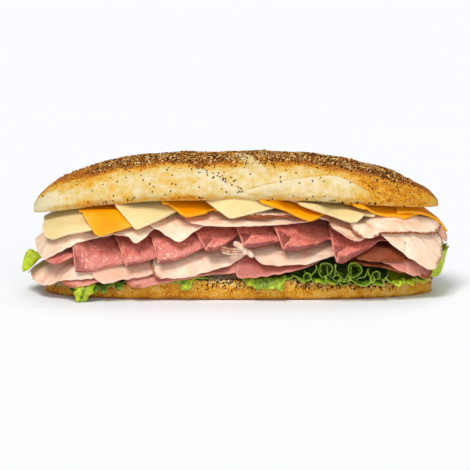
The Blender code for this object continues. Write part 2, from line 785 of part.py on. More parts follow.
def lay_leaf(pile, leaf):
    """Adds a leaf and raises the pile over it, by the frill's full height at its margin."""
    name, points, top, (start, stop) = leaf
    solid, faces = closed_grid(points, LETTUCE_THICKNESS)
    add_object(name, solid, faces, "lettuce")
    xs = pile.lattice.points[:, 0]
    distance, _ = past_spine(xs, pile.lattice.points[:, 1])
    step = 2 * BED_SPINE_HALF / (SPINE_COLUMNS - 1)
    near = (xs > start - step) & (xs < stop + step)
    drop = pile.lattice.drop - LEAF_HANG * np.clip(distance - LEAF_SHOULDER, 0.0, None)
    margin = distance >= LEAF_FLAT
    clear = np.where(margin, top + np.clip(drop, 0.0, None), LEAF_CORE_LEVEL)
    pile.level[near] = np.maximum(pile.level, clear)[near]


def lay_tip_leaf(pile):
    """A narrow leaf between the meats that shows at the left tip."""
    outline = convex_hull(TIP_LEAF_OUTLINE)
    target = np.full(len(pile.lattice.points), TIP_LEAF_LEVEL)
    under, over = pile.lay(outline, target, LETTUCE_THICKNESS, TIP_LEAF_STIFFNESS)
    underside = squared_to_sheet(outline, LETTUCE_THICKNESS, TIP_LEAF_STIFFNESS)
    tops, bottoms = pile.heights(over), pile.heights(under)
    points, faces = sheet_mesh(pile.lattice, outline, underside, tops, bottoms)
    add_object("lettuce_1", points, faces, "lettuce")


# Start and stop along X, level, reach, height, pitch and phase of the frill
THROUGH_LEAVES = {
    "lettuce_2": (-126.0, -74.0, 17.6, 49.0, 0.8, 21.0, 0.3),
    "lettuce_3": (-58.0, -20.0, 17.2, 48.0, 0.8, 19.0, 1.1),
    "lettuce_4": (-10.0, 43.0, 17.2, 49.0, 2.5, 15.0, 2.0),
    "lettuce_5": (44.5, 122.0, 17.2, 48.5, 8.0, 19.0, 0.0),
}
# Side, first and last angle round the end, level, reach, height and phase of the frill
END_LEAVES = {"lettuce_6": (1.0, -1.05, 0.95, 19.5, 48.5, 7.0, 0.4)}


def lay_lettuce(pile):
    """The leaves that lie on the lower half."""
    for name, sizes in THROUGH_LEAVES.items():
        lay_leaf(pile, through_leaf(name, *sizes))
    for name, sizes in END_LEAVES.items():
        lay_leaf(pile, end_leaf(name, *sizes))


def build_filling():
    """Lays every leaf and slice from the lower half upwards."""
    rng = np.random.default_rng(7)
    pile = Pile()
    lay_lettuce(pile)
    lay_row(pile, HAM_ROW, rng)
    lay_row(pile, TURKEY_LOWER_ROW, rng)
    lay_tip_leaf(pile)
    lay_row(pile, SALAMI_ROW, rng)
    lay_row(pile, TURKEY_UPPER_ROW, rng)
    lay_row(pile, CHEESE_ROW, rng)


def main():
    """Clears the scene and builds the sandwich."""
    for obj in list(bpy.data.objects):
        bpy.data.objects.remove(obj)
    build_roll()
    build_filling()


main()
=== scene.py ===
"""Submarine sandwich: the looks, built round the solids of the frame.

Lengths here are in millimetres until a mesh is made. X runs along the roll, Y across it with the
front at -Y, and Z up from the flat underside. Every slice lies on one drape: a level w is the
height over the middle of the roll, less the droop of the roll's ends and of the overhang.
"""

import collections
import math

import bpy
import numpy as np
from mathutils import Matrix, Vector, geometry


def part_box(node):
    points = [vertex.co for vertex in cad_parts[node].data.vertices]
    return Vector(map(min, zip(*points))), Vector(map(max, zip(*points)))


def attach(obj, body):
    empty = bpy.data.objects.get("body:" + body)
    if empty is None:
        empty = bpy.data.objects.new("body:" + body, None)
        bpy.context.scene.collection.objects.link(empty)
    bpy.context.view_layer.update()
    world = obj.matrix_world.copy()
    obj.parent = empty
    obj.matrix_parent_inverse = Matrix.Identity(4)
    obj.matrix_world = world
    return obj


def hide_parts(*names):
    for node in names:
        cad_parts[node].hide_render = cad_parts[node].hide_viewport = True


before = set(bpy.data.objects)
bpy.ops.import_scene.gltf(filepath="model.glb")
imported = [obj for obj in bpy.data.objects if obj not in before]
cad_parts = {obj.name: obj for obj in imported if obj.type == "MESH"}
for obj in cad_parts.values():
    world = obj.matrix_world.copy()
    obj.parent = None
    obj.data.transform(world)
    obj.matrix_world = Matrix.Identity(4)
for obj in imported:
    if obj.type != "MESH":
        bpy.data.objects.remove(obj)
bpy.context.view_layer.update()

MM = 0.001
BODY = "root"


def box_mm(node):
    """Lowest and highest corner of a CAD node, in millimetres."""
    low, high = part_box(node)
    return np.array(low) / MM, np.array(high) / MM


# ---------------------------------------------------------------------------
# Sizes
# ---------------------------------------------------------------------------

TOP_LOW, TOP_HIGH = box_mm("roll_top")
BASE_LOW, BASE_HIGH = box_mm("roll_base")
TOP_HALF_LENGTH = (TOP_HIGH[0] - TOP_LOW[0]) / 2 + 0.9
TOP_HALF_WIDTH = 46.0
TOP_RISE = 28.2
TOP_RIM_LIP = 1.0
TOP_CUT = 75.4
BASE_HALF_LENGTH = (BASE_HIGH[0] - BASE_LOW[0]) / 2 + 0.9
BASE_MIDDLE = (BASE_HIGH[0] + BASE_LOW[0]) / 2
BASE_HALF_WIDTH = 44.0
BASE_CUT = 15.2

# Droop of each end: side, where it starts, depth, run, power, and the lower half's share of it
END_DROOPS = ((-1.0, 40.0, 14.5, 110.0, 1.8, 0.8), (1.0, 35.0, 9.8, 115.0, 1.45, 0.5))

BED_HALF_WIDTH = 42.0
BED_SPINE_HALF = 104.0
RINGS = (0.0, 22.0, 37.5, 46.0, 58.0, 75.0)
RING_DROPS = (0.0, 0.0, 0.5, 8.5, 31.0, 63.0)
RING_ARCHES = (8.0, 5.0, 0.0, 0.0, 0.0, 0.0)
RING_BLUR = 2.2
TIP_DROP_SHARE = 0.6
INNER_EDGE = 33.0
FRONT_REACH = 52.5
BACK_REACH = 51.0

GRID_STEP = 1.5
GRID_X = np.arange(-171.0, 171.1, GRID_STEP)
GRID_Y = np.arange(-66.0, 66.1, GRID_STEP)
SPREAD_CELLS = 3
SLICE_GAP = 0.35


# ---------------------------------------------------------------------------
# Drape
# ---------------------------------------------------------------------------


def end_droop(x, level):
    """How far the surface of a level hangs below its middle height at X.

    The lower layers follow the droop of the ends a little less than the upper ones.
    """
    x = np.asarray(x, float)
    rise = np.clip((level - BASE_CUT) / (TOP_CUT - BASE_CUT), -0.5, 1.2)
    total = 0.0
    for side, start, depth, run, power, least in END_DROOPS:
        along = np.clip(side * x - start, 0.0, None) / run
        total = total + depth * along**power * (least + (1.0 - least) * rise)
    return total


def softened(values):
    """A ring profile sampled finely, with its corners rounded."""
    fine = np.arange(0.0, RINGS[-1], 0.25)
    padded = np.interp(np.abs(np.arange(-10.0, RINGS[-1] + 10.0, 0.25)), RINGS, values)
    offsets = np.arange(-10.0, 10.1, 0.25)
    kernel = np.exp(-0.5 * (offsets / RING_BLUR) ** 2)
    smooth = np.convolve(padded, kernel / kernel.sum(), "same")
    return fine, smooth[40:40 + len(fine)]


DISTANCES, DROPS = softened(RING_DROPS)
_, ARCHES = softened(RING_ARCHES)
DROPS = DROPS - DROPS[0]


def past_spine(x, y):
    """Distance of a plan point from the bed's spine, and how far round the end it lies, 0 to 1."""
    beyond = np.clip(np.abs(x) - BED_SPINE_HALF, 0.0, None)
    distance = np.hypot(beyond, y)
    return distance, (beyond / np.maximum(distance, 1e-9)) ** 4


def edge_drop(x, y):
    """Droop of the overhang at a plan point, 0 over the bed."""
    distance, roundness = past_spine(x, y)
    return np.interp(distance, DISTANCES, DROPS) * (1.0 - (1.0 - TIP_DROP_SHARE) * roundness)


def arch(x, y):
    """Rise of every layer, and of both cut faces, over the middle of the roll."""
    return np.interp(past_spine(x, y)[0], DISTANCES, ARCHES)


def height(x, y, level):
    """Height of the drape at a plan point for a level."""
    return level - end_droop(x, level) - edge_drop(x, y) + arch(x, y)


def ripple(x, y, wavelength, seed, waves=7):
    """Smooth uneven field of about -1 to 1, with bumps of roughly the wavelength."""
    draw = np.random.default_rng(seed)
    total = 0.0
    for _ in range(waves):
        turn = draw.uniform(0.0, 2 * math.pi)
        length = wavelength * draw.uniform(0.75, 1.5)
        phase = draw.uniform(0.0, 2 * math.pi)
        total = total + np.sin(2 * math.pi * (x * math.cos(turn) + y * math.sin(turn)) / length + phase)
    return total / math.sqrt(waves * 1.6)


def smoothstep(value, low, high):
    """0 below low, 1 above high, with a smooth change between them."""
    share = np.clip((value - low) / (high - low), 0.0, 1.0)
    return share * share * (3.0 - 2.0 * share)


# ---------------------------------------------------------------------------
# Pile: the level reached so far, on a fine plan grid
# ---------------------------------------------------------------------------

MESH_X, MESH_Y = np.meshgrid(GRID_X, GRID_Y, indexing="ij")
GRID_DROP = edge_drop(MESH_X, MESH_Y)
GRID_SLOPE = np.hypot(*np.gradient(GRID_DROP, GRID_STEP))


def sampled(field, x, y):
    """Values of a grid field at plan points."""
    i = np.clip((np.asarray(x) - GRID_X[0]) / GRID_STEP, 0.0, len(GRID_X) - 1.001)
    j = np.clip((np.asarray(y) - GRID_Y[0]) / GRID_STEP, 0.0, len(GRID_Y) - 1.001)
    a, b = i.astype(int), j.astype(int)
    s, t = i - a, j - b
    near = field[a, b] * (1 - t) + field[a, b + 1] * t
    far = field[a + 1, b] * (1 - t) + field[a + 1, b + 1] * t
    return near * (1 - s) + far * s


def shifted(field, cells, axis):
    """The field moved along an axis, its edge values repeated."""
    index = np.clip(np.arange(field.shape[axis]) - cells, 0, field.shape[axis] - 1)
    return np.take(field, index, axis=axis)


def spread(field):
    """Highest value within a few cells, then softened by no more than that, so it never dips."""
    cells = range(-SPREAD_CELLS, SPREAD_CELLS + 1)
    for axis in (0, 1):
        field = np.max([shifted(field, c, axis) for c in cells], axis=0)
    weights = np.exp(-0.5 * (np.array(cells) / (SPREAD_CELLS / 1.6)) ** 2)
    weights /= weights.sum()
    for axis in (0, 1):
        field = sum(w * shifted(field, c, axis) for w, c in zip(weights, cells))
    return field


def inside(outline, x, y):
    """Whether plan points lie in a polygon."""
    found = np.zeros(np.shape(x), bool)
    for (ax, ay), (bx, by) in zip(outline, np.roll(outline, -1, axis=0)):
        crosses = (ay > y) != (by > y)
        rise = by - ay if by != ay else 1e-9
        found ^= crosses & (x < (bx - ax) * (y - ay) / rise + ax)
    return found


class Pile:
    """The level reached so far at every grid point."""

    def __init__(self):
        self.level = np.full(MESH_X.shape, BASE_CUT)

    def rest(self, target, thickness, stiffness):
        """Level fields of a new slice's underside and upper face, resting on the pile."""
        rise = thickness * np.hypot(1.0, GRID_SLOPE * min(stiffness, 1.0))
        wanted = target + (1.0 - stiffness) * GRID_DROP
        under = np.maximum(spread(np.maximum(self.level, wanted - 4.0)) + SLICE_GAP, wanted)
        under = np.maximum(spread_soft(under), self.level + SLICE_GAP)
        return under, under + rise

    def cover(self, outline, over):
        """Raises the pile to the new slice's upper face within its outline."""
        self.level = np.where(inside(outline, MESH_X, MESH_Y), over, self.level)

    def report(self, what):
        under_bun = past_spine(MESH_X, MESH_Y)[0] < 40.0
        row = [f"{self.level[(abs(MESH_X - x) < 3) & under_bun].max():.1f}" for x in range(-140, 141, 20)]
        print("PILE", what, " ".join(row))


def spread_soft(field):
    """The field softened over its neighbours."""
    for axis in (0, 1):
        field = 0.25 * shifted(field, 1, axis) + 0.5 * field + 0.25 * shifted(field, -1, axis)
    return field


# ---------------------------------------------------------------------------
# Mesh objects
# ---------------------------------------------------------------------------


def mesh_object(name, points, faces, finish, slot, replaced=(), attributes=(), sharp=None, kinds=None):
    """A riding piece from points in millimetres and triangles."""
    points = np.asarray(points, float)
    faces = np.asarray(faces, int)
    mesh = bpy.data.meshes.new(name)
    mesh.vertices.add(len(points))
    mesh.vertices.foreach_set("co", (points * MM).ravel())
    mesh.loops.add(faces.size)
    mesh.loops.foreach_set("vertex_index", faces.ravel())
    mesh.polygons.add(len(faces))
    mesh.polygons.foreach_set("loop_start", np.arange(0, faces.size, 3))
    mesh.update(calc_edges=True)
    for key, values in dict(attributes).items():
        values = np.asarray(values, float)
        wide = values.ndim == 2
        layer = mesh.attributes.new(key, "FLOAT_VECTOR" if wide else "FLOAT", "POINT")
        layer.data.foreach_set("vector" if wide else "value", values.ravel())
    for material in finish if isinstance(finish, (list, tuple)) else [finish]:
        mesh.materials.append(material)
    if kinds is not None:
        mesh.polygons.foreach_set("material_index", np.asarray(kinds, int))
    mesh.polygons.foreach_set("use_smooth", np.ones(len(faces), bool))
    if sharp:
        mesh.set_sharp_from_angle(angle=sharp)
    obj = bpy.data.objects.new(name, mesh)
    bpy.context.scene.collection.objects.link(obj)
    if replaced:
        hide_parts(*replaced)
    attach(obj, BODY)
    return obj


def point_normals(points, faces):
    """Unit normals of a triangle mesh at its points."""
    corners = points[faces]
    across = np.cross(corners[:, 1] - corners[:, 0], corners[:, 2] - corners[:, 0])
    normals = np.zeros_like(points)
    for k in range(3):
        np.add.at(normals, faces[:, k], across)
    return normals / np.maximum(np.linalg.norm(normals, axis=1, keepdims=True), 1e-9)


def grid_faces(rows, columns, closed=False):
    """Triangles of a grid of points, wrapping round its columns if closed."""
    i, j = np.meshgrid(np.arange(rows - 1), np.arange(columns if closed else columns - 1), indexing="ij")
    k = (j + 1) % columns
    a, b = i * columns + j, i * columns + k
    c, d = (i + 1) * columns + k, (i + 1) * columns + j
    return np.concatenate([np.stack([a, b, c], -1).reshape(-1, 3), np.stack([a, c, d], -1).reshape(-1, 3)])


# ---------------------------------------------------------------------------
# Outlines
# ---------------------------------------------------------------------------


def resampled(line, step, closed):
    """A polyline with points at about equal steps."""
    line = np.asarray(line, float)
    if closed:
        line = np.vstack([line, line[:1]])
    lengths = np.hypot(*np.diff(line, axis=0).T)
    along = np.concatenate([[0.0], np.cumsum(lengths)])
    count = max(4, int(round(along[-1] / step)))
    at = np.linspace(0.0, along[-1], count + 1)
    points = np.stack([np.interp(at, along, line[:, k]) for k in (0, 1)], axis=1)
    return points[:-1] if closed else points


def rounded(line, radius, closed, step=0.8):
    """The polyline resampled with its corners softened over about the radius."""
    points = resampled(line, step, closed)
    reach = max(1, int(round(radius / step)))
    for _ in range(3):
        if closed:
            total = sum(np.roll(points, k, axis=0) for k in range(-reach, reach + 1))
            points = total / (2 * reach + 1)
        else:
            padded = np.vstack([2 * points[0] - points[reach:0:-1], points, 2 * points[-1] - points[-2:-reach - 2:-1]])
            kernel = np.ones(2 * reach + 1) / (2 * reach + 1)
            points = np.stack([np.convolve(padded[:, k], kernel, "valid") for k in (0, 1)], axis=1)
    return points


def ragged(points, amount, wavelength, seed):
    """A closed outline with small uneven bites along it."""
    ahead, behind = np.roll(points, -1, axis=0), np.roll(points, 1, axis=0)
    along = ahead - behind
    across = np.stack([along[:, 1], -along[:, 0]], axis=1)
    across /= np.maximum(np.linalg.norm(across, axis=1, keepdims=True), 1e-9)
    return points + across * (amount * ripple(points[:, 0], points[:, 1], wavelength, seed))[:, None]


def least_half_width(x):
    """Half-width of the bed at X: an edge line never comes closer to the middle than this."""
    beyond = np.clip(np.abs(x) - BED_SPINE_HALF, 0.0, None)
    return np.sqrt(np.clip(INNER_EDGE**2 - beyond**2, 0.0, None))


def edge_places(x, z, surface, side, farthest):
    """Y at each X where the surface has come down to height Z, looking in from outside."""
    tries = np.arange(farthest, 0.0, -0.4)
    grid_x, grid_y = np.broadcast_arrays(x[:, None], side * tries[None, :])
    heights = surface(grid_x, grid_y)
    above = heights >= z[:, None]
    first = np.where(above.any(axis=1), above.argmax(axis=1), len(tries) - 1)
    row = np.arange(len(x))
    before = np.maximum(first - 1, 0)
    low, high = heights[row, before], heights[row, first]
    share = np.clip((z - low) / np.where(high == low, 1e9, high - low), 0.0, 1.0)
    y = tries[before] + (tries[first] - tries[before]) * share
    return side * np.maximum(y, least_half_width(x))


def plan_line(front, surface, side, shift=0.0, raise_by=0.0):
    """Plan points of the edge line given by (x, z) corners, on one side of the roll."""
    fine = resampled(front, 0.8, False)
    x = fine[:, 0] + shift * (1.0 - np.minimum(1.0, np.abs(fine[:, 0]) / 130.0) ** 2)
    y = edge_places(x, fine[:, 1] + raise_by, surface, side, FRONT_REACH if side < 0 else BACK_REACH)
    return np.stack([x, y], axis=1)


# ---------------------------------------------------------------------------
# Sheets
# ---------------------------------------------------------------------------

FINE_STEP = 1.5
COARSE_STEP = 4.5
FINE_FROM = 33.0


def over_edge(x, y):
    """Whether plan points lie near or past the roll's side, where slices show."""
    return past_spine(x, y)[0] > FINE_FROM


def scattered_inside(outline, fine_at=over_edge):
    """Points to fill an outline: closely spaced where it shows, wider elsewhere."""
    low, high = outline.min(axis=0), outline.max(axis=0)
    found = []
    for step, wanted in ((FINE_STEP, True), (COARSE_STEP, False)):
        xs = np.arange(low[0], high[0], step)
        ys = np.arange(low[1], high[1], step * 0.87)
        x, y = np.meshgrid(xs, ys, indexing="ij")
        x = x + (np.arange(len(ys)) % 2 * step / 2)[None, :]
        x, y = x.ravel(), y.ravel()
        keep = (fine_at(x, y) == wanted) & inside(outline, x, y)
        points = np.stack([x[keep], y[keep]], axis=1)
        gaps = distance_to(points, outline)
        found.append(points[gaps > 0.55 * step])
    return np.vstack(found)


def distance_to(points, outline):
    """Distance of each point from the closest sample of an outline."""
    if not len(points):
        return np.zeros(0)
    best = np.full(len(points), 1e9)
    for chunk in range(0, len(outline), 64):
        part = outline[chunk:chunk + 64]
        apart = np.hypot(points[:, None, 0] - part[None, :, 0], points[:, None, 1] - part[None, :, 1])
        best = np.minimum(best, apart.min(axis=1))
    return best


def triangulated(outline, fill):
    """Plan points and triangles that cover an outline, and its boundary's numbers in order."""
    count = len(outline)
    points = [Vector(p) for p in np.vstack([outline, fill])]
    edges = [(i, (i + 1) % count) for i in range(count)]
    flat, _, faces, origins, _, _ = geometry.delaunay_2d_cdt(points, edges, [], 1, 1e-5)
    where = {}
    for number, sources in enumerate(origins):
        for source in sources:
            where[source] = number
    boundary = [where[i] for i in range(count)]
    flat = np.array([tuple(p) for p in flat])
    faces = np.array([f for f in faces if len(f) == 3])
    a, b, c = (flat[faces[:, k]] for k in range(3))
    turn = (b[:, 0] - a[:, 0]) * (c[:, 1] - a[:, 1]) - (b[:, 1] - a[:, 1]) * (c[:, 0] - a[:, 0])
    faces[turn < 0] = faces[turn < 0][:, ::-1]
    return flat, faces, boundary


def sheet(name, outline, place, thickness, boxy, finish, slot, replaced, extra=None, rows=None, fine_at=over_edge):
    """A slice: both faces and a rounded rim, from a plan outline and the place of its upper face."""
    fill = scattered_inside(outline, fine_at)
    if rows is not None:
        clear = distance_to(fill, rows) > 0.7 if len(rows) else np.ones(len(fill), bool)
        rows = rows[inside(outline, rows[:, 0], rows[:, 1])]
        rows = rows[distance_to(rows, outline) > 0.5]
        fill = np.vstack([fill[clear], rows])
    flat, faces, boundary = triangulated(outline, fill)
    upper = place(flat[:, 0], flat[:, 1])
    normals = point_normals(upper, faces)
    lower = upper - normals * thickness
    count = len(upper)
    ring = np.array(boundary)
    along = np.roll(upper[ring], -1, axis=0) - np.roll(upper[ring], 1, axis=0)
    outward = np.cross(along, normals[ring])
    outward /= np.maximum(np.linalg.norm(outward, axis=1, keepdims=True), 1e-9)
    middle = (upper[ring] + lower[ring]) / 2
    layers = []
    for angle in np.radians((35.0, 70.0, 110.0, 145.0)):
        out = thickness * 0.42 * math.sin(angle) ** boxy
        up = thickness / 2 * math.copysign(abs(math.cos(angle)) ** boxy, math.cos(angle))
        layers.append(middle + outward * out + normals[ring] * up)
    points = np.vstack([upper, lower] + layers)
    rim_faces = []
    chain = [ring] + [2 * count + k * len(ring) + np.arange(len(ring)) for k in range(4)] + [ring + count]
    for near, far in zip(chain[:-1], chain[1:]):
        a, b = near, np.roll(near, -1)
        c, d = np.roll(far, -1), far
        rim_faces += [np.stack([b, a, d], 1), np.stack([b, d, c], 1)]
    faces = np.vstack([faces, faces[:, ::-1] + count] + rim_faces)
    edge = distance_to(flat, outline)
    rim = np.concatenate([edge, edge] + [np.zeros(len(ring))] * 4)
    sides = np.concatenate([np.zeros(count), np.ones(count)] + [np.full(len(ring), 0.5)] * 4)
    plan = np.vstack([flat, flat] + [flat[ring]] * 4)
    attributes = {
        "rim": rim,
        "plan": np.column_stack([plan, sides]) * MM,
    }
    if extra:
        attributes.update(extra(plan[:, 0], plan[:, 1], points, rim))
    sharp = 0.75 if boxy < 0.6 else None
    return mesh_object(name, points, faces, finish, slot, replaced, attributes, sharp)


# ---------------------------------------------------------------------------
# Finishes
# ---------------------------------------------------------------------------


def tone(red, green, blue):
    """Linear colour from 0 to 255 display values."""
    values = []
    for v in (red, green, blue):
        v = v / 255.0
        values.append(v / 12.92 if v <= 0.04045 else ((v + 0.055) / 1.055) ** 2.4)
    return (*values, 1.0)


class Finish:
    """A node material being built. Lengths are in millimetres."""

    def __init__(self, name):
        self.material = bpy.data.materials.new(name)
        self.material.use_nodes = True
        self.tree = self.material.node_tree
        self.shader = self.tree.nodes["Principled BSDF"]
        self.where = self.add("ShaderNodeTexCoord").outputs["Object"]

    def add(self, kind, **settings):
        node = self.tree.nodes.new(kind)
        for key, value in settings.items():
            setattr(node, key, value)
        return node

    def feed(self, socket, item):
        if isinstance(item, bpy.types.NodeSocket):
            self.tree.links.new(item, socket)
        else:
            socket.default_value = item

    def attribute(self, name, output="Fac"):
        return self.add("ShaderNodeAttribute", attribute_name=name).outputs[output]

    def noise(self, size, detail=2.0, roughness=0.55, distortion=0.0, where=None):
        node = self.add("ShaderNodeTexNoise")
        self.feed(node.inputs["Vector"], where or self.where)
        node.inputs["Scale"].default_value = 1.0 / (size * MM)
        node.inputs["Detail"].default_value = detail
        node.inputs["Roughness"].default_value = roughness
        node.inputs["Distortion"].default_value = distortion
        return node.outputs["Fac"]

    def cells(self, size, output="Distance", feature="F1", jitter=1.0, where=None):
        node = self.add("ShaderNodeTexVoronoi", feature=feature)
        self.feed(node.inputs["Vector"], where or self.where)
        node.inputs["Scale"].default_value = 1.0 / (size * MM)
        node.inputs["Randomness"].default_value = jitter
        return node.outputs[output]

    def stretched(self, x=1.0, y=1.0, z=1.0, where=None):
        node = self.add("ShaderNodeMapping")
        self.feed(node.inputs["Vector"], where or self.where)
        node.inputs["Scale"].default_value = (x, y, z)
        return node.outputs["Vector"]

    def maths(self, operation, first, second=0.0, clamp=False):
        node = self.add("ShaderNodeMath", operation=operation, use_clamp=clamp)
        self.feed(node.inputs[0], first)
        self.feed(node.inputs[1], second)
        return node.outputs[0]

    def span(self, value, low, high, first=0.0, last=1.0):
        node = self.add("ShaderNodeMapRange", interpolation_type="SMOOTHSTEP")
        self.feed(node.inputs["Value"], value)
        for key, number in (("From Min", low), ("From Max", high), ("To Min", first), ("To Max", last)):
            node.inputs[key].default_value = number
        return node.outputs["Result"]

    def blend(self, share, first, second, kind="MIX"):
        node = self.add("ShaderNodeMix", data_type="RGBA", blend_type=kind)
        self.feed(node.inputs[0], share)
        self.feed(node.inputs[6], first)
        self.feed(node.inputs[7], second)
        return node.outputs[2]

    def ramp(self, value, stops):
        node = self.add("ShaderNodeValToRGB")
        band = node.color_ramp
        while len(band.elements) < len(stops):
            band.elements.new(0.5)
        for element, (at, colour) in zip(band.elements, stops):
            element.position = at
            element.color = colour
        self.feed(node.inputs["Fac"], value)
        return node.outputs["Color"]

    def split(self, vector, axis):
        node = self.add("ShaderNodeSeparateXYZ")
        self.feed(node.inputs[0], vector)
        return node.outputs[axis]

    def done(self, colour, roughness, bumps=(), subsurface=0.0, radius=(3.0, 1.5, 0.8), gloss=0.5, coat=0.0):
        self.feed(self.shader.inputs["Base Color"], colour)
        self.feed(self.shader.inputs["Roughness"], roughness)
        self.shader.inputs["Specular IOR Level"].default_value = gloss
        self.shader.inputs["Coat Weight"].default_value = coat
        self.shader.inputs["Coat Roughness"].default_value = 0.25
        if subsurface:
            self.shader.inputs["Subsurface Weight"].default_value = subsurface
            self.shader.inputs["Subsurface Radius"].default_value = radius
            self.shader.inputs["Subsurface Scale"].default_value = MM
        normal = None
        for relief, depth in bumps:
            node = self.add("ShaderNodeBump")
            node.inputs["Distance"].default_value = depth * MM
            node.inputs["Strength"].default_value = 1.0
            self.feed(node.inputs["Height"], relief)
            if normal:
                self.feed(node.inputs["Normal"], normal)
            normal = node.outputs["Normal"]
        if normal:
            self.feed(self.shader.inputs["Normal"], normal)
        return self.material


CRUST_STOPS = (
    (0.0, tone(218, 202, 164)),
    (0.2, tone(210, 180, 106)),
    (0.38, tone(214, 154, 30)),
    (0.56, tone(188, 114, 6)),
    (0.76, tone(136, 68, 4)),
    (1.0, tone(70, 28, 4)),
)


def crust_finish():
    """Baked crust: a bake amount from pale cream to dark brown, broken up by fine speckle."""
    f = Finish("crust")
    bake = f.attribute("bake")
    broad = f.span(f.noise(16.0, 3.0), 0.3, 0.7, -0.07, 0.07)
    blotch = f.span(f.noise(4.5, 3.0, 0.6), 0.3, 0.7, -0.09, 0.09)
    grain = f.span(f.noise(1.1, 2.0, 0.7), 0.3, 0.7, -0.5, 0.5)
    amount = f.maths("ADD", bake, broad)
    amount = f.maths("ADD", amount, blotch)
    # speckle is strongest where the crust is half baked
    strength = f.span(bake, 0.05, 0.5, 0.05, 0.34)
    amount = f.maths("ADD", amount, f.maths("MULTIPLY", grain, strength), clamp=True)
    colour = f.ramp(amount, CRUST_STOPS)
    freckle = f.span(f.cells(2.1, jitter=1.0), 0.10, 0.2, 1.0, 0.0)
    some = f.span(f.noise(9.0, 1.0), 0.45, 0.6)
    freckle = f.maths("MULTIPLY", freckle, f.maths("MULTIPLY", some, f.span(bake, 0.1, 0.4)))
    colour = f.blend(f.maths("MULTIPLY", freckle, 0.6), colour, tone(132, 72, 22))
    flour = f.span(f.noise(0.9, 1.0, 0.5), 0.62, 0.72)
    flour = f.maths("MULTIPLY", flour, f.span(bake, 0.15, 0.5, 0.1, 0.3))
    colour = f.blend(flour, colour, tone(246, 224, 168))
    relief = f.noise(2.2, 4.0, 0.65)
    skin = f.noise(9.0, 2.0)
    rough = f.span(amount, 0.0, 1.0, 0.72, 0.5)
    return f.done(colour, rough, [(skin, 0.8), (relief, 0.35)], 0.1, gloss=0.16)


def crumb_finish():
    """Open bread crumb: cream with pores."""
    f = Finish("crumb")
    pores = f.span(f.cells(3.2), 0.15, 0.6)
    fine = f.noise(1.4, 4.0, 0.7)
    holes = f.maths("MULTIPLY", pores, fine)
    # the pores are coloured darker: painted shade inside them, on top of their bump
    colour = f.ramp(holes, ((0.05, tone(196, 160, 100)), (0.25, tone(238, 214, 160)), (0.7, tone(250, 236, 198))))
    return f.done(colour, 0.85, [(holes, 1.2)], 0.15, gloss=0.2)


def cheese_finish(name, body, deep, pale):
    """Sliced cheese: smooth, slightly waxy, with a paler cut edge."""
    f = Finish(name)
    drift = f.noise(22.0, 2.0)
    fine = f.noise(1.6, 3.0, 0.6)
    colour = f.blend(f.span(drift, 0.3, 0.7), body, deep)
    edge = f.span(f.attribute("rim"), 0.0, 0.5, 0.35, 0.0)
    colour = f.blend(edge, colour, pale)
    colour = f.blend(f.span(fine, 0.62, 0.8, 0.0, 0.1), colour, pale)
    rough = f.span(fine, 0.3, 0.7, 0.34, 0.5)
    return f.done(colour, rough, [(f.noise(7.0, 2.0), 0.2), (fine, 0.05)], 0.15, (3.0, 2.0, 0.8), 0.18)


def meat_finish(name, body, pale, deep, edge, rim_width, gloss):
    """Sliced roast meat: soft mottling, faint grain, browned and peppered rim where marked."""
    f = Finish(name)
    plan = f.attribute("plan", "Vector")
    mottle = f.noise(11.0, 3.0, 0.6, 0.6, plan)
    streaks = f.noise(5.0, 3.0, 0.6, 0.4, f.stretched(0.25, 1.0, 1.0, plan))
    colour = f.blend(f.span(mottle, 0.35, 0.68), body, pale)
    colour = f.blend(f.span(streaks, 0.46, 0.7, 0.0, 0.65), colour, deep)
    # painted shade: slices marked as lying in shadow are darkened towards the deep colour
    tinted = f.maths("MULTIPLY", f.attribute("tinted"), 0.7, clamp=True)
    colour = f.blend(tinted, colour, deep)
    fibre = f.noise(1.3, 3.0, 0.7, 0.0, plan)
    colour = f.blend(f.span(fibre, 0.55, 0.75, 0.0, 0.22), colour, pale)
    rim = f.attribute("rim")
    wander = f.span(f.noise(3.0, 2.0), 0.3, 0.7, -0.6, 0.6)
    near = f.span(f.maths("ADD", rim, wander), 0.0, rim_width, 1.0, 0.0)
    crusted = f.attribute("crusted")
    patchy = f.span(f.noise(2.2, 3.0, 0.7), 0.25, 0.5, 0.45, 1.0)
    brown = f.maths("MULTIPLY", f.maths("MULTIPLY", near, crusted), patchy, clamp=True)
    colour = f.blend(brown, colour, f.blend(f.span(f.noise(1.2, 2.0), 0.35, 0.65), edge, tone(96, 42, 16)))
    plain = f.maths("SUBTRACT", 1.0, crusted, clamp=True)
    light = f.maths("MULTIPLY", f.span(rim, 0.1, 1.2, 0.45, 0.0), plain)
    colour = f.blend(light, colour, pale)
    specks = f.span(f.cells(5.5, where=plan), 0.06, 0.1, 0.9, 0.0)
    specks = f.maths("MULTIPLY", specks, f.span(f.noise(13.0, 1.0), 0.48, 0.54))
    colour = f.blend(specks, colour, tone(52, 30, 18))
    rough = f.span(mottle, 0.3, 0.7, 0.34, 0.55)
    return f.done(colour, rough, [(f.noise(6.0, 3.0), 0.35), (fibre, 0.10)], 0.3, (4.0, 1.6, 1.0), gloss)


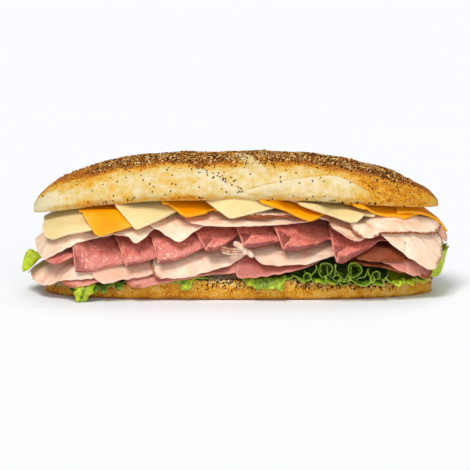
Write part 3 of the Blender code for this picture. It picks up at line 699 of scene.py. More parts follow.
def salami_finish():
    """Cured sausage: dark red-pink flecked with small pieces of fat."""
    f = Finish("salami")
    plan = f.attribute("plan", "Vector")
    base = f.blend(f.span(f.noise(6.0, 3.0, 0.6, 0.0, plan), 0.3, 0.7), tone(194, 92, 82), tone(220, 128, 112))
    wobble = f.noise(1.6, 2.0, 0.6, 0.8, plan)
    fat = f.span(f.maths("ADD", f.cells(2.6, where=plan), f.span(wobble, 0.2, 0.8, -0.32, 0.32)), 0.12, 0.3, 1.0, 0.0)
    chosen = f.span(f.noise(3.4, 1.0, 0.5, 0.0, plan), 0.40, 0.52)
    fat = f.maths("MULTIPLY", fat, chosen)
    colour = f.blend(f.maths("MULTIPLY", fat, 0.7), base, tone(246, 196, 176))
    fine = f.span(f.noise(0.8, 1.0, 0.5, 0.0, plan), 0.6, 0.7, 0.0, 0.5)
    colour = f.blend(fine, colour, tone(246, 190, 170))
    dark = f.span(f.noise(1.9, 2.0, 0.6, 0.0, plan), 0.25, 0.42, 0.45, 0.0)
    colour = f.blend(dark, colour, tone(150, 48, 42))
    # painted shade: inside the open mouth of each fold the colour is darkened towards deep red
    colour = f.blend(f.maths("MULTIPLY", f.attribute("within"), 0.75), colour, tone(104, 26, 20))
    # paler rim along the cut edge: partly the slice's own edge, partly a painted highlight along it
    rim = f.span(f.attribute("rim"), 0.1, 0.9, 0.7, 0.0)
    colour = f.blend(rim, colour, tone(236, 152, 128))
    rough = f.span(f.noise(2.0, 2.0), 0.3, 0.7, 0.32, 0.52)
    return f.done(colour, rough, [(wobble, 0.16), (f.noise(7.0, 2.0), 0.4)], 0.18, (4.0, 1.0, 0.7), 0.45)


def lettuce_finish():
    """Lettuce leaf: dark green blade with paler veins, and a light yellow-green frill."""
    f = Finish("lettuce")
    light = f.attribute("light")
    plan = f.attribute("plan", "Vector")
    veins = f.span(f.cells(6.0, feature="DISTANCE_TO_EDGE", where=plan), 0.0, 0.09, 1.0, 0.0)
    small = f.span(f.cells(2.4, feature="DISTANCE_TO_EDGE", where=plan), 0.0, 0.12, 0.6, 0.0)
    blade = f.blend(f.span(f.noise(5.0, 3.0, 0.6), 0.3, 0.7), tone(34, 62, 4), tone(86, 124, 8))
    bright = f.blend(f.span(f.noise(6.0, 3.0, 0.6), 0.3, 0.7), tone(146, 174, 10), tone(204, 214, 36))
    # the light attribute picks between dark blade and bright frill: partly the leaf's own darker blade and paler
    # frill, partly painted shade on leaves and curl roots lying in shadow
    colour = f.blend(f.span(f.maths("ADD", light, f.span(f.noise(3.0, 2.0), 0.3, 0.7, -0.2, 0.2)), 0.1, 0.9), blade, bright)
    vein = f.maths("MAXIMUM", veins, small)
    colour = f.blend(f.maths("MULTIPLY", vein, 0.22), colour, tone(180, 200, 80))
    # paler rim along the leaf's edge: partly the margin's own colour, partly a painted highlight where the edge
    # catches the light
    rim = f.span(f.attribute("rim"), 0.02, 0.45, 0.5, 0.0)
    colour = f.blend(rim, colour, tone(156, 186, 62))
    relief = f.maths("SUBTRACT", f.noise(2.5, 3.0), f.maths("MULTIPLY", vein, 0.4))
    return f.done(colour, 0.4, [(relief, 0.5)], 0.1, (1.0, 2.0, 0.4), 0.35)


def grain_finish(name, dark, pale, size, rough=0.5):
    """A seed, flake or crumb: its colour varies from one to the next and a little within it."""
    f = Finish(name)
    each = f.attribute("each")
    within = f.span(f.noise(size, 2.0), 0.3, 0.7, -0.2, 0.2)
    colour = f.blend(f.maths("ADD", each, within, clamp=True), dark, pale)
    return f.done(colour, rough, [(f.noise(size * 0.4, 2.0), 0.12)], gloss=0.12)


# ---------------------------------------------------------------------------
# Slices: the lower front edge that each one shows, as (x, z) corners
# ---------------------------------------------------------------------------

HAM_LEVELS = ((-150, -110, -75, 0, 30, 62, 100, 124, 150), (28, 26, 23, 26, 29, 32, 32, 31, 31))
TURKEY_LOWER_LEVELS = ((-150, -100, -60, -16, 4, 20, 51, 72, 100, 150), (33, 33, 31, 35, 38, 38, 37, 37, 37, 37))
SALAMI_LEVELS = ((-150, -110, -80, -56, -18, 10, 39, 78, 100, 150), (45, 41, 39, 41, 47, 49, 48, 43, 44, 47))
TURKEY_UPPER_LEVELS = ((-150, -73, -40, 0, 50, 86, 110, 130, 150), (55, 56, 57, 61, 60, 55, 56, 60, 62))
CHEESE_LEVELS = ((-150, 70, 105, 125, 150), (66.0, 66.0, 65.0, 62.0, 56.0))

HAM_SLICES = {
    "ham_1": ((-129, 18), (-128, 14.5), (-124, 12), (-116, 12.5), (-101, 16), (-84, 20)),
    "ham_2": ((-84, 20), (-80, 15), (-75, 10.5), (-70, 11), (-64, 12.5), (-45, 16.2), (-23, 20), (0, 22), (12, 26.5)),
    "ham_3": ((3, 33), (1, 26), (-0.5, 19.5), (6, 19), (19, 20), (33, 22), (48, 25), (62, 30), (70, 33)),
    "ham_4": ((82, 32), (94, 28), (107, 27), (122, 22), (135, 24)),
    "ham_5": ((96, 34), (111, 29), (124, 22), (135, 18.5), (141, 15.5), (144, 17), (147, 24), (150, 31)),
}
TURKEY_LOWER_SLICES = {
    "turkey_lower_1": ((-156, 27), (-155, 18), (-150, 12.2), (-142, 10), (-131, 15), (-120, 17.5), (-101, 19), (-84, 24)),
    "turkey_lower_2": ((-109, 28), (-106, 22), (-101, 17), (-94, 14.5), (-86, 17.5), (-77, 18.5), (-69, 19), (-60, 22), (-50, 26)),
    "turkey_lower_3": ((-62, 32), (-61, 24), (-60, 19), (-49, 18.5), (-38, 19), (-27, 22), (-16, 25), (-4, 28), (4, 33), (16, 40)),
    "turkey_lower_4": ((-2, 47), (6, 41), (13, 35), (18, 30), (27, 28.6), (36, 28.5), (48, 29.5), (50, 27.5), (55, 30), (62, 32), (72, 34), (94, 41)),
    "turkey_lower_5": ((78, 40), (84, 36), (89, 33), (97, 31.5), (107, 31), (125, 31), (142, 33)),
}
TURKEY_UPPER_SLICES = {
    "turkey_upper_1": ((-151, 48), (-150, 42), (-147, 35), (-143, 31.5), (-140, 31), (-131, 36.5), (-116, 45), (-94, 49), (-74, 56)),
    "turkey_upper_2": ((-104, 57), (-98, 52), (-85, 50), (-78, 50), (-75.5, 46), (-73, 44), (-69, 47), (-62, 53), (-50, 60)),
    "turkey_upper_3": ((-68, 60), (-53, 52), (-45, 47), (-41, 45.5), (-38, 47.5), (-34, 51), (-23, 57), (-15, 61)),
    "turkey_upper_4": ((-43, 65), (-36, 60), (-23, 58), (0, 57.6), (29, 58), (53, 58), (54, 64)),
    "turkey_upper_5": ((-8, 67), (4, 63.6), (18, 63.4), (30, 63.2), (44, 62.2), (58, 66)),
    "turkey_upper_6": ((58, 70), (66, 66), (69, 62), (69.5, 57), (74, 54), (81, 50), (86, 47), (92, 47), (99, 53), (108, 60)),
    "turkey_upper_7": ((100, 54), (106, 51), (116, 42), (122, 37.6), (133, 30), (143, 23), (147, 24.5), (152, 30), (153, 44)),
    "turkey_upper_8": ((112, 60), (138, 57), (149, 49), (156, 39), (157, 45)),
    "turkey_upper_9": ((72, 64), (83, 59), (87, 51), (91, 48), (96, 47), (101, 49.5), (108, 52), (130, 50.5), (147, 47.5), (151, 49), (154, 56)),
}
CHEESE_SLICES = {
    "white_cheese_1": ((-137, 66), (-141, 59), (-142.5, 52), (-140, 48), (-135, 47), (-124, 51.5), (-107, 55), (-84, 61.5)),
    "cheddar_1": ((-115, 71), (-101, 50), (-75, 58), (-45, 68.5)),
    "white_cheese_2": ((-88, 72), (-73, 55.5), (-64, 59), (-42, 68), (-28, 72)),
    "cheddar_2": ((-54, 74), (-36, 65), (-12, 69), (10, 73)),
    "white_cheese_3": ((-22, 75), (-4, 64), (16, 68), (42, 73)),
    "cheddar_3": ((18, 75), (35, 69), (54, 62), (68, 66), (82, 72)),
    "white_cheese_4": ((39, 76), (62, 68), (83, 61), (88, 60.8), (93, 64.5), (102, 72)),
    "cheddar_4": ((80, 74), (101, 67.5), (119, 62), (125, 60.5), (130, 61), (143, 66)),
    "cheddar_5": ((130, 67), (143, 63.5), (149, 58), (156.5, 49), (156, 53), (150, 62)),
}

# Plan outlines of slices whose corner hangs over the roll's end
CORNER_PLANS = {"cheddar_5": ((119, -30), (125, -25), (158, 2), (131, 33), (121, 32))}

# Parts of an edge where the roast's browned outside shows, as x from and to, and how strongly
CRUSTED = {
    "ham_1": ((-132, -118, 0.9),),
    "ham_2": ((-84, -70, 1.0),),
    # ham_4's strong browning is partly its browned edge and partly painted shade, for the fold lying in shadow
    "ham_4": ((80, 140, 1.6),),
    "ham_5": ((137, 152, 1.5),),
    "turkey_lower_1": ((-160, -150, 0.3),),
    "turkey_lower_3": ((-64, -56, 1.0),),
    "turkey_lower_4": ((0, 30, 0.3),),
    # turkey_lower_5's strong browning is partly its browned edge and partly painted shade, for the folds lying in
    # shadow
    "turkey_lower_5": ((76, 145, 2.5),),
    "turkey_upper_2": ((-100, -82, 0.6),),
    "turkey_upper_4": ((-46, -34, 0.8), (50, 56, 0.5)),
    "turkey_upper_5": ((-8, 62, 3.0),),
    "turkey_upper_6": ((66, 112, 0.55),),
    "turkey_upper_7": ((148, 156, 0.8),),
    "turkey_upper_8": ((110, 160, 0.6),),
    "turkey_upper_9": ((70, 92, 1.2), (102, 158, 1.1)),
}

# Painted shade: how far some slices that lie in shadow are darkened towards the deeper colour of their meat
SHADE_AMOUNTS = {
    "turkey_lower_5": 1.3, "ham_4": 1.4, "turkey_upper_4": 0.3, "turkey_lower_2": 0.8, "ham_3": 1.2,
    "turkey_lower_4": 0.1, "ham_2": 0.3, "turkey_upper_6": 0.2, "turkey_upper_8": 1.0,
}
REACH = {"ham": 6.5, "turkey_lower": 7.5, "salami": 8.0, "turkey_upper": 8.5, "cheese": 7.5}
BACK_RAISE = 3.0
BACK_SHIFT = 6.0


def shingled_level(levels, middles, number, step):
    """Level of a slice that lies over its left neighbour and under its right one."""

    def level_at(x):
        place = np.interp(x, middles, np.arange(len(middles)))
        return np.interp(x, *levels) + step * (number - place)

    return level_at


def stiffness_for(front, level_at, reach):
    """Share of the full droop that puts the lowest corner at this overhang."""
    needed = []
    for x, z in front:
        level = level_at(x)
        drop = level - end_droop(x, level) - z
        full = edge_drop(x, BED_HALF_WIDTH + reach) if abs(x) < BED_SPINE_HALF else 15.0
        needed.append(float(drop / full))
    return min(1.0, max(0.4, max(needed)))


def slice_outline(front, surface, radius, draw, seed, rough):
    """Closed plan outline: the front edge, and a like edge at the back."""
    raise_by = BACK_RAISE + draw.uniform(-1.5, 1.5)
    shift = draw.uniform(-1.0, 1.0) * BACK_SHIFT
    near = plan_line(front, surface, -1.0)
    far = plan_line(front, surface, 1.0, shift, raise_by)
    inward = 0.6 + 0.6 * ripple(far[:, 0], far[:, 1] * 0.0, 37.0, seed)
    far[:, 1] -= np.clip(inward, 0.0, 1.5)
    outline = rounded(np.vstack([near, far[::-1]]), radius, True)
    outline = resampled(outline, 1.2, True)
    return ragged(outline, rough, 7.0, seed + 50)


def wrinkled(target, amount, wavelength, seed):
    """The wanted level with soft wrinkles that grow towards the free edges."""
    loose = smoothstep(past_spine(MESH_X, MESH_Y)[0], 30.0, 50.0)
    return target + amount * loose * (1.0 + ripple(MESH_X, MESH_Y * 0.6, wavelength, seed))


def crust_marks(name):
    """Adds to a slice how strongly its rim is browned, and how much painted shade darkens the whole slice."""

    def marks(x, y, points, rim):
        amount = np.full(len(x), 0.12)
        for start, stop, strength in CRUSTED.get(name, ()):
            spot = smoothstep(x, start - 2.0, start) * (1.0 - smoothstep(x, stop, stop + 2.0))
            amount = np.maximum(amount, strength * spot)
        return {"crusted": amount, "tinted": np.full(len(x), SHADE_AMOUNTS.get(name, 0.0))}

    return marks


def lay_slices(pile, slices, levels, kind, draw):
    """Lays a row of flat slices, each over the one to its left."""
    middles = [(front[0][0] + front[-1][0]) / 2 for front in slices.values()]
    order = np.argsort(middles)
    for number, (name, front) in enumerate(slices.items()):
        place = float(np.where(order == number)[0][0])
        level_at = shingled_level(levels, np.sort(middles), place, kind["step"])
        stiffness = stiffness_for(front, level_at, kind["reach"])
        seed = 300 + 17 * number + int(kind["reach"] * 10)
        target = wrinkled(level_at(MESH_X), kind["wrinkle"], kind["wave"], seed)
        _, over = pile.rest(target, kind["thickness"], stiffness)

        def surface(x, y, over=over):
            return height(x, y, sampled(over, x, y))

        def place_of(x, y, surface=surface):
            return np.column_stack([x, y, surface(x, y)])

        outline = slice_outline(front, surface, kind["corner"], draw, seed, kind["ragged"])
        if name in CORNER_PLANS:
            outline = resampled(rounded(CORNER_PLANS[name], kind["corner"], True), 1.2, True)
        pile.cover(outline, over)
        finish, slot = kind["finish"](name)
        sheet(
            name + "_slice", outline, place_of, kind["thickness"], kind["boxy"],
            finish, slot, (name,), crust_marks(name),
        )


# ---------------------------------------------------------------------------
# Salami: each slice folded over, with the fold at the front
# ---------------------------------------------------------------------------

SALAMI_THICKNESS = 1.1
# nose: the line of the fold; upper and lower: the left ends of the two leaves, going up from it
SALAMI_SLICES = {
    "salami_1": {"nose": ((-143, 31), (-138, 29.5), (-131, 29), (-118, 35), (-96, 42)),
                 "upper": ((-142, 36), (-138, 42)), "lower": ((-144, 35), (-142, 42)), "open": 0.9},
    "salami_2": {"nose": ((-117, 25), (-105, 25), (-95, 28), (-81, 30), (-60, 36)),
                 "upper": ((-117, 34), (-116.5, 46)), "lower": ((-119.5, 34), (-120, 46)), "open": 0.7},
    "salami_3": {"nose": ((-80, 29), (-71, 31), (-60, 34), (-36, 41)),
                 "upper": ((-83, 38), (-86, 50)), "lower": ((-85, 38), (-89, 50)), "open": 0.9},
    "salami_4": {"nose": ((-56, 31), (-45, 33), (-34, 37), (-8, 48)),
                 "upper": ((-58, 40), (-61, 54)), "lower": ((-60, 40), (-64, 54)), "open": 0.9},
    "salami_5": {"nose": ((-22, 41), (-18.5, 40), (-15, 40.4), (-8, 43), (1, 49), (18, 54)),
                 "upper": ((-16.5, 43.5), (-18, 48), (-26, 56)),
                 "lower": ((-23.5, 43), (-26.5, 46.5), (-30, 50.5), (-34, 56)), "open": 4.4},
    "salami_6": {"nose": ((5.5, 44), (9, 42.8), (13, 43), (25, 45), (33, 46), (48, 49)),
                 "upper": ((11.5, 46), (11, 50.5), (5, 57)), "lower": ((4, 46.5), (2.5, 50), (-2, 57)), "open": 4.0},
    "salami_7": {"nose": ((35, 42), (38.5, 40.6), (42, 40.8), (55, 42), (71, 46), (88, 51)),
                 "upper": ((41, 44), (41, 49), (35, 57)),
                 "lower": ((33.5, 44), (31.5, 48), (30, 52), (26, 57)), "open": 4.6},
    "salami_8": {"nose": ((73.5, 34), (76.5, 32.4), (80, 33), (85, 35.5), (100, 41.5), (116, 50)),
                 "upper": ((81.5, 36.5), (84, 42), (85, 52)),
                 "lower": ((72, 36.5), (70.5, 41), (70, 47), (68.5, 57)), "open": 9.0},
}
SALAMI_BACK_Z = 41.0
NOSE_ROWS = 9
OPEN_SHARE_OF_PILE = 0.08
# Farthest Y of a fold at the front and the back, and over how much it is eased in
FARTHEST_FRONT = -52.4
FARTHEST_BACK = 51.0
EASE = 2.6


def salami_lines(spec, surface, leaf, draw):
    """Plan lines of one leaf: its nose, its left end and its back edge."""
    nose = plan_line(spec["nose"], surface, -1.0)
    left = plan_line((spec["nose"][0], *spec[leaf]), surface, -1.0)
    start_x, end_x = spec[leaf][-1][0], spec["nose"][-1][0] + 2.0
    share = np.linspace(0.0, 1.0, 24)
    lift = 9.0 * np.abs(2 * share - 1.0) ** 2.5 + draw.uniform(-2.0, 2.0) + 3.0 * (leaf == "lower")
    level = SALAMI_BACK_Z - 4.0 * (end_x > 60) + lift - 5.0
    back = plan_line(np.column_stack([start_x + (end_x - start_x) * share, level]), surface, 1.0)
    return nose, left, back


def fold_opening(spec, x, y):
    """How far apart the leaves stand: widest at the left end, and at the front."""
    start = spec["nose"][0][0]
    length = spec["nose"][-1][0] - start
    share = np.clip((x - start) / length, -0.4, 1.0)
    wide = spec["open"] * np.clip(1.0 - share * 1.5, 0.1, 1.2)
    return wide * (0.05 + 0.95 * smoothstep(-y, 42.5, 48.5)) * smoothstep(x, start - 22.0, start - 8.0)


def lay_salami(pile, finish, draw):
    """Lays the folded slices, each over the one to its left."""
    middles = []
    for spec in SALAMI_SLICES.values():
        middles.append((spec["nose"][0][0] + spec["nose"][-1][0]) / 2)
    for number, (name, spec) in enumerate(SALAMI_SLICES.items()):
        level_at = shingled_level(SALAMI_LEVELS, middles, float(number), 3.8)
        stiffness = stiffness_for(spec["nose"], level_at, REACH["salami"])
        seed = 700 + 13 * number
        target = wrinkled(level_at(MESH_X), 0.35, 17.0, seed)
        whole = 2 * SALAMI_THICKNESS + 0.4
        under, over = pile.rest(target, whole, stiffness)
        rise = over - under

        def surface(x, y, under=under, rise=rise):
            return height(x, y, sampled(under, x, y) + 0.5 * sampled(rise, x, y))

        nose, left_u, back_u = salami_lines(spec, surface, "upper", draw)
        _, left_l, back_l = salami_lines(spec, surface, "lower", draw)
        covered = np.vstack([nose, back_u[::-1] + (0.0, 0.5), left_l[::-1]])
        open_rise = fold_opening(spec, MESH_X, MESH_Y) * np.hypot(1.0, GRID_SLOPE) * OPEN_SHARE_OF_PILE
        pile.cover(covered, over + open_rise)
        build_fold(name, spec, nose, (left_u, back_u), (left_l, back_l), under, rise, seed, finish)


def held_in(points):
    """Eases points that reach past the roll's front or back in to the farthest Y allowed."""
    middle = (FARTHEST_BACK - FARTHEST_FRONT) / 2
    centre = (FARTHEST_BACK + FARTHEST_FRONT) / 2
    past = np.abs(points[:, 1] - centre) - (middle - EASE)
    eased = middle - EASE + EASE * np.tanh(np.maximum(past, 0.0) / EASE)
    points[:, 1] = np.where(past > 0, centre + np.sign(points[:, 1] - centre) * eased, points[:, 1])
    return points


def build_fold(name, spec, nose, upper, lower, under, rise, seed, finish):
    """One folded slice as a single sheet, unrolled to (x, q): q above 0 on the upper leaf."""
    half = 0.5 * math.pi * (SALAMI_THICKNESS + 0.6) / 2
    order = np.argsort(nose[:, 0])
    nose_x, nose_y = nose[order, 0], nose[order, 1]
    slope_x = np.gradient(nose_y, nose_x)

    def fold_y(x):
        inner = np.interp(x, nose_x, nose_y)
        left = nose_y[0] + (x - nose_x[0]) * slope_x[2] * 0.6
        right = nose_y[-1] + (x - nose_x[-1]) * slope_x[-3] * 0.6
        return np.where(x < nose_x[0], left, np.where(x > nose_x[-1], right, inner))

    def unrolled(line, sign):
        q = np.maximum(line[:, 1] - fold_y(line[:, 0]), 0.0) + half
        return np.column_stack([line[:, 0], sign * q])

    (left_u, back_u), (left_l, back_l) = upper, lower
    outline = np.vstack([
        unrolled(left_l[1:], -1.0)[::-1][:-1],
        unrolled(left_u[1:], 1.0),
        unrolled(back_u, 1.0),
        unrolled(back_l, -1.0)[::-1],
    ])
    outline = rounded(outline, 2.6, True)
    outline = resampled(outline, 1.2, True)
    outline = ragged(outline, 0.18, 6.0, seed)

    def leaf(x, y, sign):
        base = sampled(under, x, y)
        step = sampled(rise, x, y)
        middle = base + step * (0.76 if sign > 0 else 0.24)
        z = height(x, y, middle)
        slope = 1.6 * smoothstep(-y, 38.0, 50.0)
        apart = fold_opening(spec, x, y)
        out = (apart * 0.8 if sign > 0 else -apart * 0.2) / np.hypot(1.0, slope)
        return np.column_stack([x, y - out * slope * 0.3, z + out])

    def place(x, q):
        y = fold_y(x) + np.maximum(np.abs(q) - half, 0.0)
        result = np.empty((len(x), 3))
        for sign in (1.0, -1.0):
            chosen = (np.sign(q) == sign) | ((q == 0) & (sign > 0))
            result[chosen] = leaf(x[chosen], y[chosen], sign)
        bend = np.abs(q) < half
        if bend.any():
            bx, by = x[bend], y[bend]
            top, bottom = leaf(bx, by, 1.0), leaf(bx, by, -1.0)
            inner = leaf(bx, by + 0.8, 1.0), leaf(bx, by + 0.8, -1.0)
            tangent = (top - inner[0]) + (bottom - inner[1])
            tangent /= np.linalg.norm(tangent, axis=1, keepdims=True)
            centre = (top + bottom) / 2
            radius = np.linalg.norm(top - bottom, axis=1, keepdims=True) / 2
            turn = (math.pi / 2 * (1.0 - q[bend] / half))[:, None]
            result[bend] = centre + (top - centre) * np.cos(turn) + tangent * radius * 1.15 * np.sin(turn)
        return held_in(result)

    xs = np.arange(outline[:, 0].min(), outline[:, 0].max(), 1.3)
    qs = np.linspace(-half * 1.1, half * 1.1, NOSE_ROWS)
    rows = np.array([(x, q) for x in xs for q in qs])

    def marks(x, q, points, rim):
        y = fold_y(x) + np.maximum(np.abs(q) - half, 0.0)
        # within: the inside of the fold's open mouth, which the finish darkens as painted shade
        within = (q < half * 0.6) * smoothstep(fold_opening(spec, x, y), 0.15, 0.9)
        return {"within": within * smoothstep(rim, 0.2, 1.6)}

    def fine_at(x, q):
        return (np.abs(q) < 24.0) | over_edge(x, fold_y(x) + np.abs(q) - half)

    sheet(
        name + "_fold", outline, place, SALAMI_THICKNESS, 1.0, finish, "salami", (name,),
        marks, rows, fine_at,
    )


# ---------------------------------------------------------------------------
# Lettuce
# ---------------------------------------------------------------------------

LEAF_THICKNESS = 0.7
LEAF_FLAT = 36.0
LEAF_SHOULDER = 45.0
LEAF_REACH = 50.0
LEAF_HANG = 2.1
LEAF_CORE_LEVEL = 17.7
LEAF_ROWS = 30
MOST_RAISE = 8.0

# Where each leaf starts and stops along X, its level, reach and hang past the shoulder, the pitch,
# sideways swing and phase of its frill, the frill's height as (x, height) corners, and how light it is:
# low values paint shade on leaves that lie in shadow
Leaf = collections.namedtuple("Leaf", "start stop level reach hang pitch swing phase tall light")
THROUGH_LEAVES = {
    # painted shade: this leaf hangs in shadow, so it is made dark
    "lettuce_2": Leaf(-124.0, -76.0, 16.2, 47.2, 1.7, 9.5, 1.2, 0.3, ((-125, 1.6), (-76, 1.0)), -0.35),
    "lettuce_3": Leaf(-58.0, -20.0, 16.6, 47.6, 2.0, 60.0, 0.3, 0.6, ((-58, 0.3), (-20, 0.3)), 0.3),
    "lettuce_4": Leaf(4.0, 43.0, 17.2, 49.0, 1.8, 30.0, 1.4, 2.0, ((4, 0.8), (28, 3.0), (43, 7.0)), 0.2),
    "lettuce_5": Leaf(
        40.0, 123.0, 17.0, 48.8, 0.5, 15.0, 3.4, 0.0, ((40, 6), (52, 6), (92, 5), (106, 6), (123, 4)), 0.0
    ),
}
# Inner ruffles of the tall leaf, behind its margin, made darker as painted shade
INNER_RUFFLE = Leaf(50.0, 112.0, 18.5, 46.6, 0.0, 9.2, 2.0, 1.7, ((50, 7), (60, 12), (92, 12), (112, 6)), -0.25)


def leaf_level(x, y, level, distance, steepness=LEAF_HANG):
    """Height of a leaf, which lies flat out to the roll's shoulder and hangs beyond it."""
    hang = steepness * np.clip(distance - LEAF_SHOULDER, 0.0, None)
    return level - end_droop(x, level) + arch(x, y) - hang


def closed_grid(name, points, thickness, attributes, finish, slot, replaced):
    """A sheet from a grid of points, thickened along its normals and closed round its rim."""
    rows, columns = points.shape[:2]
    flat = points.reshape(-1, 3)
    faces = grid_faces(rows, columns)
    normals = point_normals(flat, faces)
    count = len(flat)
    rim = [j for j in range(columns)]
    rim += [i * columns + columns - 1 for i in range(1, rows)]
    rim += [(rows - 1) * columns + j for j in range(columns - 2, -1, -1)]
    rim += [i * columns for i in range(rows - 2, 0, -1)]
    a = np.array(rim)
    b = np.roll(a, -1)
    sides = np.vstack([np.stack([b, a, a + count], 1), np.stack([b, a + count, b + count], 1)])
    body = np.vstack([flat + normals * thickness / 2, flat - normals * thickness / 2])
    faces = np.vstack([faces, faces[:, ::-1] + count, sides])
    both = {key: np.concatenate([v, v]) for key, v in attributes.items()}
    return mesh_object(name, body, faces, finish, slot, replaced, both)


def frill(along, margin, tall, pitch, swing, phase, seed):
    """Offsets along the edge, outwards and up of a leaf's margin, which curls back into loops."""
    draw = np.random.default_rng(seed)
    drift = 1.5 * np.sin(2 * math.pi * along / 41.0 + draw.uniform(0, 6)) + 0.8 * np.sin(2 * math.pi * along / 17.0)
    turn = 2 * math.pi * along / pitch + phase + drift
    uneven = 0.75 + 0.25 * np.sin(2 * math.pi * along / 15.0 + draw.uniform(0, 6))
    grown = margin**1.3 * uneven
    fine = margin**2
    side = swing * grown * np.sin(turn) + 0.45 * fine * np.cos(3.3 * turn + 1.0)
    up = tall * grown * (0.5 - 0.5 * np.cos(turn)) + 0.7 * fine * np.sin(3.3 * turn)
    out = 1.3 * margin * np.sin(turn + 0.9) + 0.4 * fine * np.sin(2.7 * turn)
    return side, out, up


def through_leaf(name, leaf, finish, replaced):
    """Leaf that runs across the bed and hangs past both sides."""
    seed = int(leaf.start) % 97
    count = int((leaf.stop - leaf.start) / 0.55)
    xs = np.linspace(leaf.start, leaf.stop, count)
    share = np.linspace(0.0, 1.0, count)
    swell = np.sin(math.pi * share) ** 0.4
    half = np.concatenate([[0.0, 12.0, 24.0], np.linspace(31.0, 1000.0, LEAF_ROWS)])
    points = np.zeros((count, 2 * len(half) - 1, 3))
    margin_all = np.zeros(points.shape[:2])
    rim_all = np.zeros(points.shape[:2])
    edge = LEAF_SHOULDER - 2.0 + (leaf.reach - LEAF_SHOULDER + 2.0) * swell + 0.5 * ripple(xs, xs * 0, 9.0, seed)
    tall = np.interp(xs, *zip(*leaf.tall))
    ends = smoothstep(share, 0.0, 0.06) * (1.0 - smoothstep(share, 0.94, 1.0))
    for side_sign in (-1, 1):
        for k in range(len(half)):
            row = len(half) - 1 + side_sign * k
            r = np.full(count, half[k]) if k < 3 else 31.0 + (edge - 31.0) * (k - 3) / (LEAF_ROWS - 1)
            margin = np.clip((r - LEAF_FLAT) / (edge - LEAF_FLAT), 0.0, 1.0)
            phase = leaf.phase + 1.3 * (side_sign > 0)
            side, out, up = frill(xs, margin, tall, leaf.pitch, leaf.swing, phase, seed + side_sign)
            x = xs + side * ends
            distance = r + out
            beyond = np.clip(np.abs(x) - BED_SPINE_HALF, 0.0, None)
            y = np.sqrt(np.maximum(distance**2 - beyond**2, 0.0)) * side_sign
            z = leaf_level(x, y, leaf.level, distance, leaf.hang) + up
            points[:, row] = np.column_stack([x, y, z])
            margin_all[:, row] = margin
            rim_all[:, row] = np.minimum(edge - r, np.minimum(xs - leaf.start, leaf.stop - xs))
    patch = 0.15 * ripple(points[:, :, 0], points[:, :, 1], 14.0, seed + 3)
    attributes = {
        # light: the leaf's own lightness, paler towards the frill, lowered as painted shade on leaves in shadow
        "light": (leaf.light + 0.4 * margin_all**3 + patch).ravel(),
        "rim": rim_all.ravel(),
        "plan": points.reshape(-1, 3) * MM,
    }
    closed_grid(name, points, LEAF_THICKNESS, attributes, finish, "lettuce", replaced)


def end_leaf(finish):
    """The light leaf round the right-hand end, its margin standing up behind the meats."""
    count, rows = 230, 40
    angles = np.linspace(-1.3, 0.98, count)
    points = np.zeros((count, rows, 3))
    margin_all = np.zeros((count, rows))
    rim_all = np.zeros((count, rows))
    along = angles * LEAF_SHOULDER
    share = np.linspace(0.0, 1.0, count)
    tooth = 1.5 * np.abs(np.sin(along / 1.9)) + 0.8 * ripple(along, along * 0, 9.0, 5)
    standing = smoothstep(angles, -0.75, -0.3) * (1.0 - 0.45 * smoothstep(angles, 0.35, 0.95))
    edge = 45.9 + 2.9 * standing + tooth * (0.35 + 1.1 * standing)
    for k in range(rows):
        r = 8.0 + (edge - 8.0) * (k / (rows - 1)) ** 0.7
        margin = np.clip((r - LEAF_FLAT) / (edge - LEAF_FLAT), 0.0, 1.0)
        side, out, up = frill(along, margin, 3.0, 15.0, 1.5, 0.4, 11)
        turned = angles + side / LEAF_SHOULDER
        # where it stands, the outer part of the leaf turns upwards at the bed's end
        stood = standing * smoothstep(margin, 0.55, 1.0)
        reach = np.minimum(r + out * 0.6, 51.5) + standing * (3.4 * smoothstep(margin, 0.3, 0.75) - 0.4 * margin)
        x = BED_SPINE_HALF + reach * np.cos(turned)
        y = reach * np.sin(turned)
        hang = 1.0 - 0.97 * smoothstep(angles, -0.95, -0.5)
        level = leaf_level(x, y, 17.8, LEAF_SHOULDER + (reach - LEAF_SHOULDER) * hang, 1.5)
        points[:, k] = np.column_stack([x, y, np.maximum(level + up * (1.0 - 0.5 * standing), 2.0) + (19.5 + 1.5 * tooth) * stood])
        margin_all[:, k] = margin
        rim_all[:, k] = edge - r
    attributes = {
        "light": (0.8 + 0.5 * margin_all**1.5).ravel(),
        "rim": rim_all.ravel(),
        "plan": points.reshape(-1, 3) * MM,
    }
    closed_grid("lettuce_6_leaf", points, LEAF_THICKNESS, attributes, finish, "lettuce", ("lettuce_6",))


def raise_over_leaf(pile, top, start, stop):
    """Lifts the pile over a leaf, by the frill's full height at its margin."""
    distance = past_spine(MESH_X, MESH_Y)[0]
    near = (MESH_X > start - 6.0) & (MESH_X < stop + 6.0)
    drop = GRID_DROP - LEAF_HANG * np.clip(distance - LEAF_SHOULDER, 0.0, None)
    clear = np.where(distance >= LEAF_FLAT, top + np.clip(drop, 0.0, None), LEAF_CORE_LEVEL)
    pile.level = np.where(near, np.maximum(pile.level, clear), pile.level)


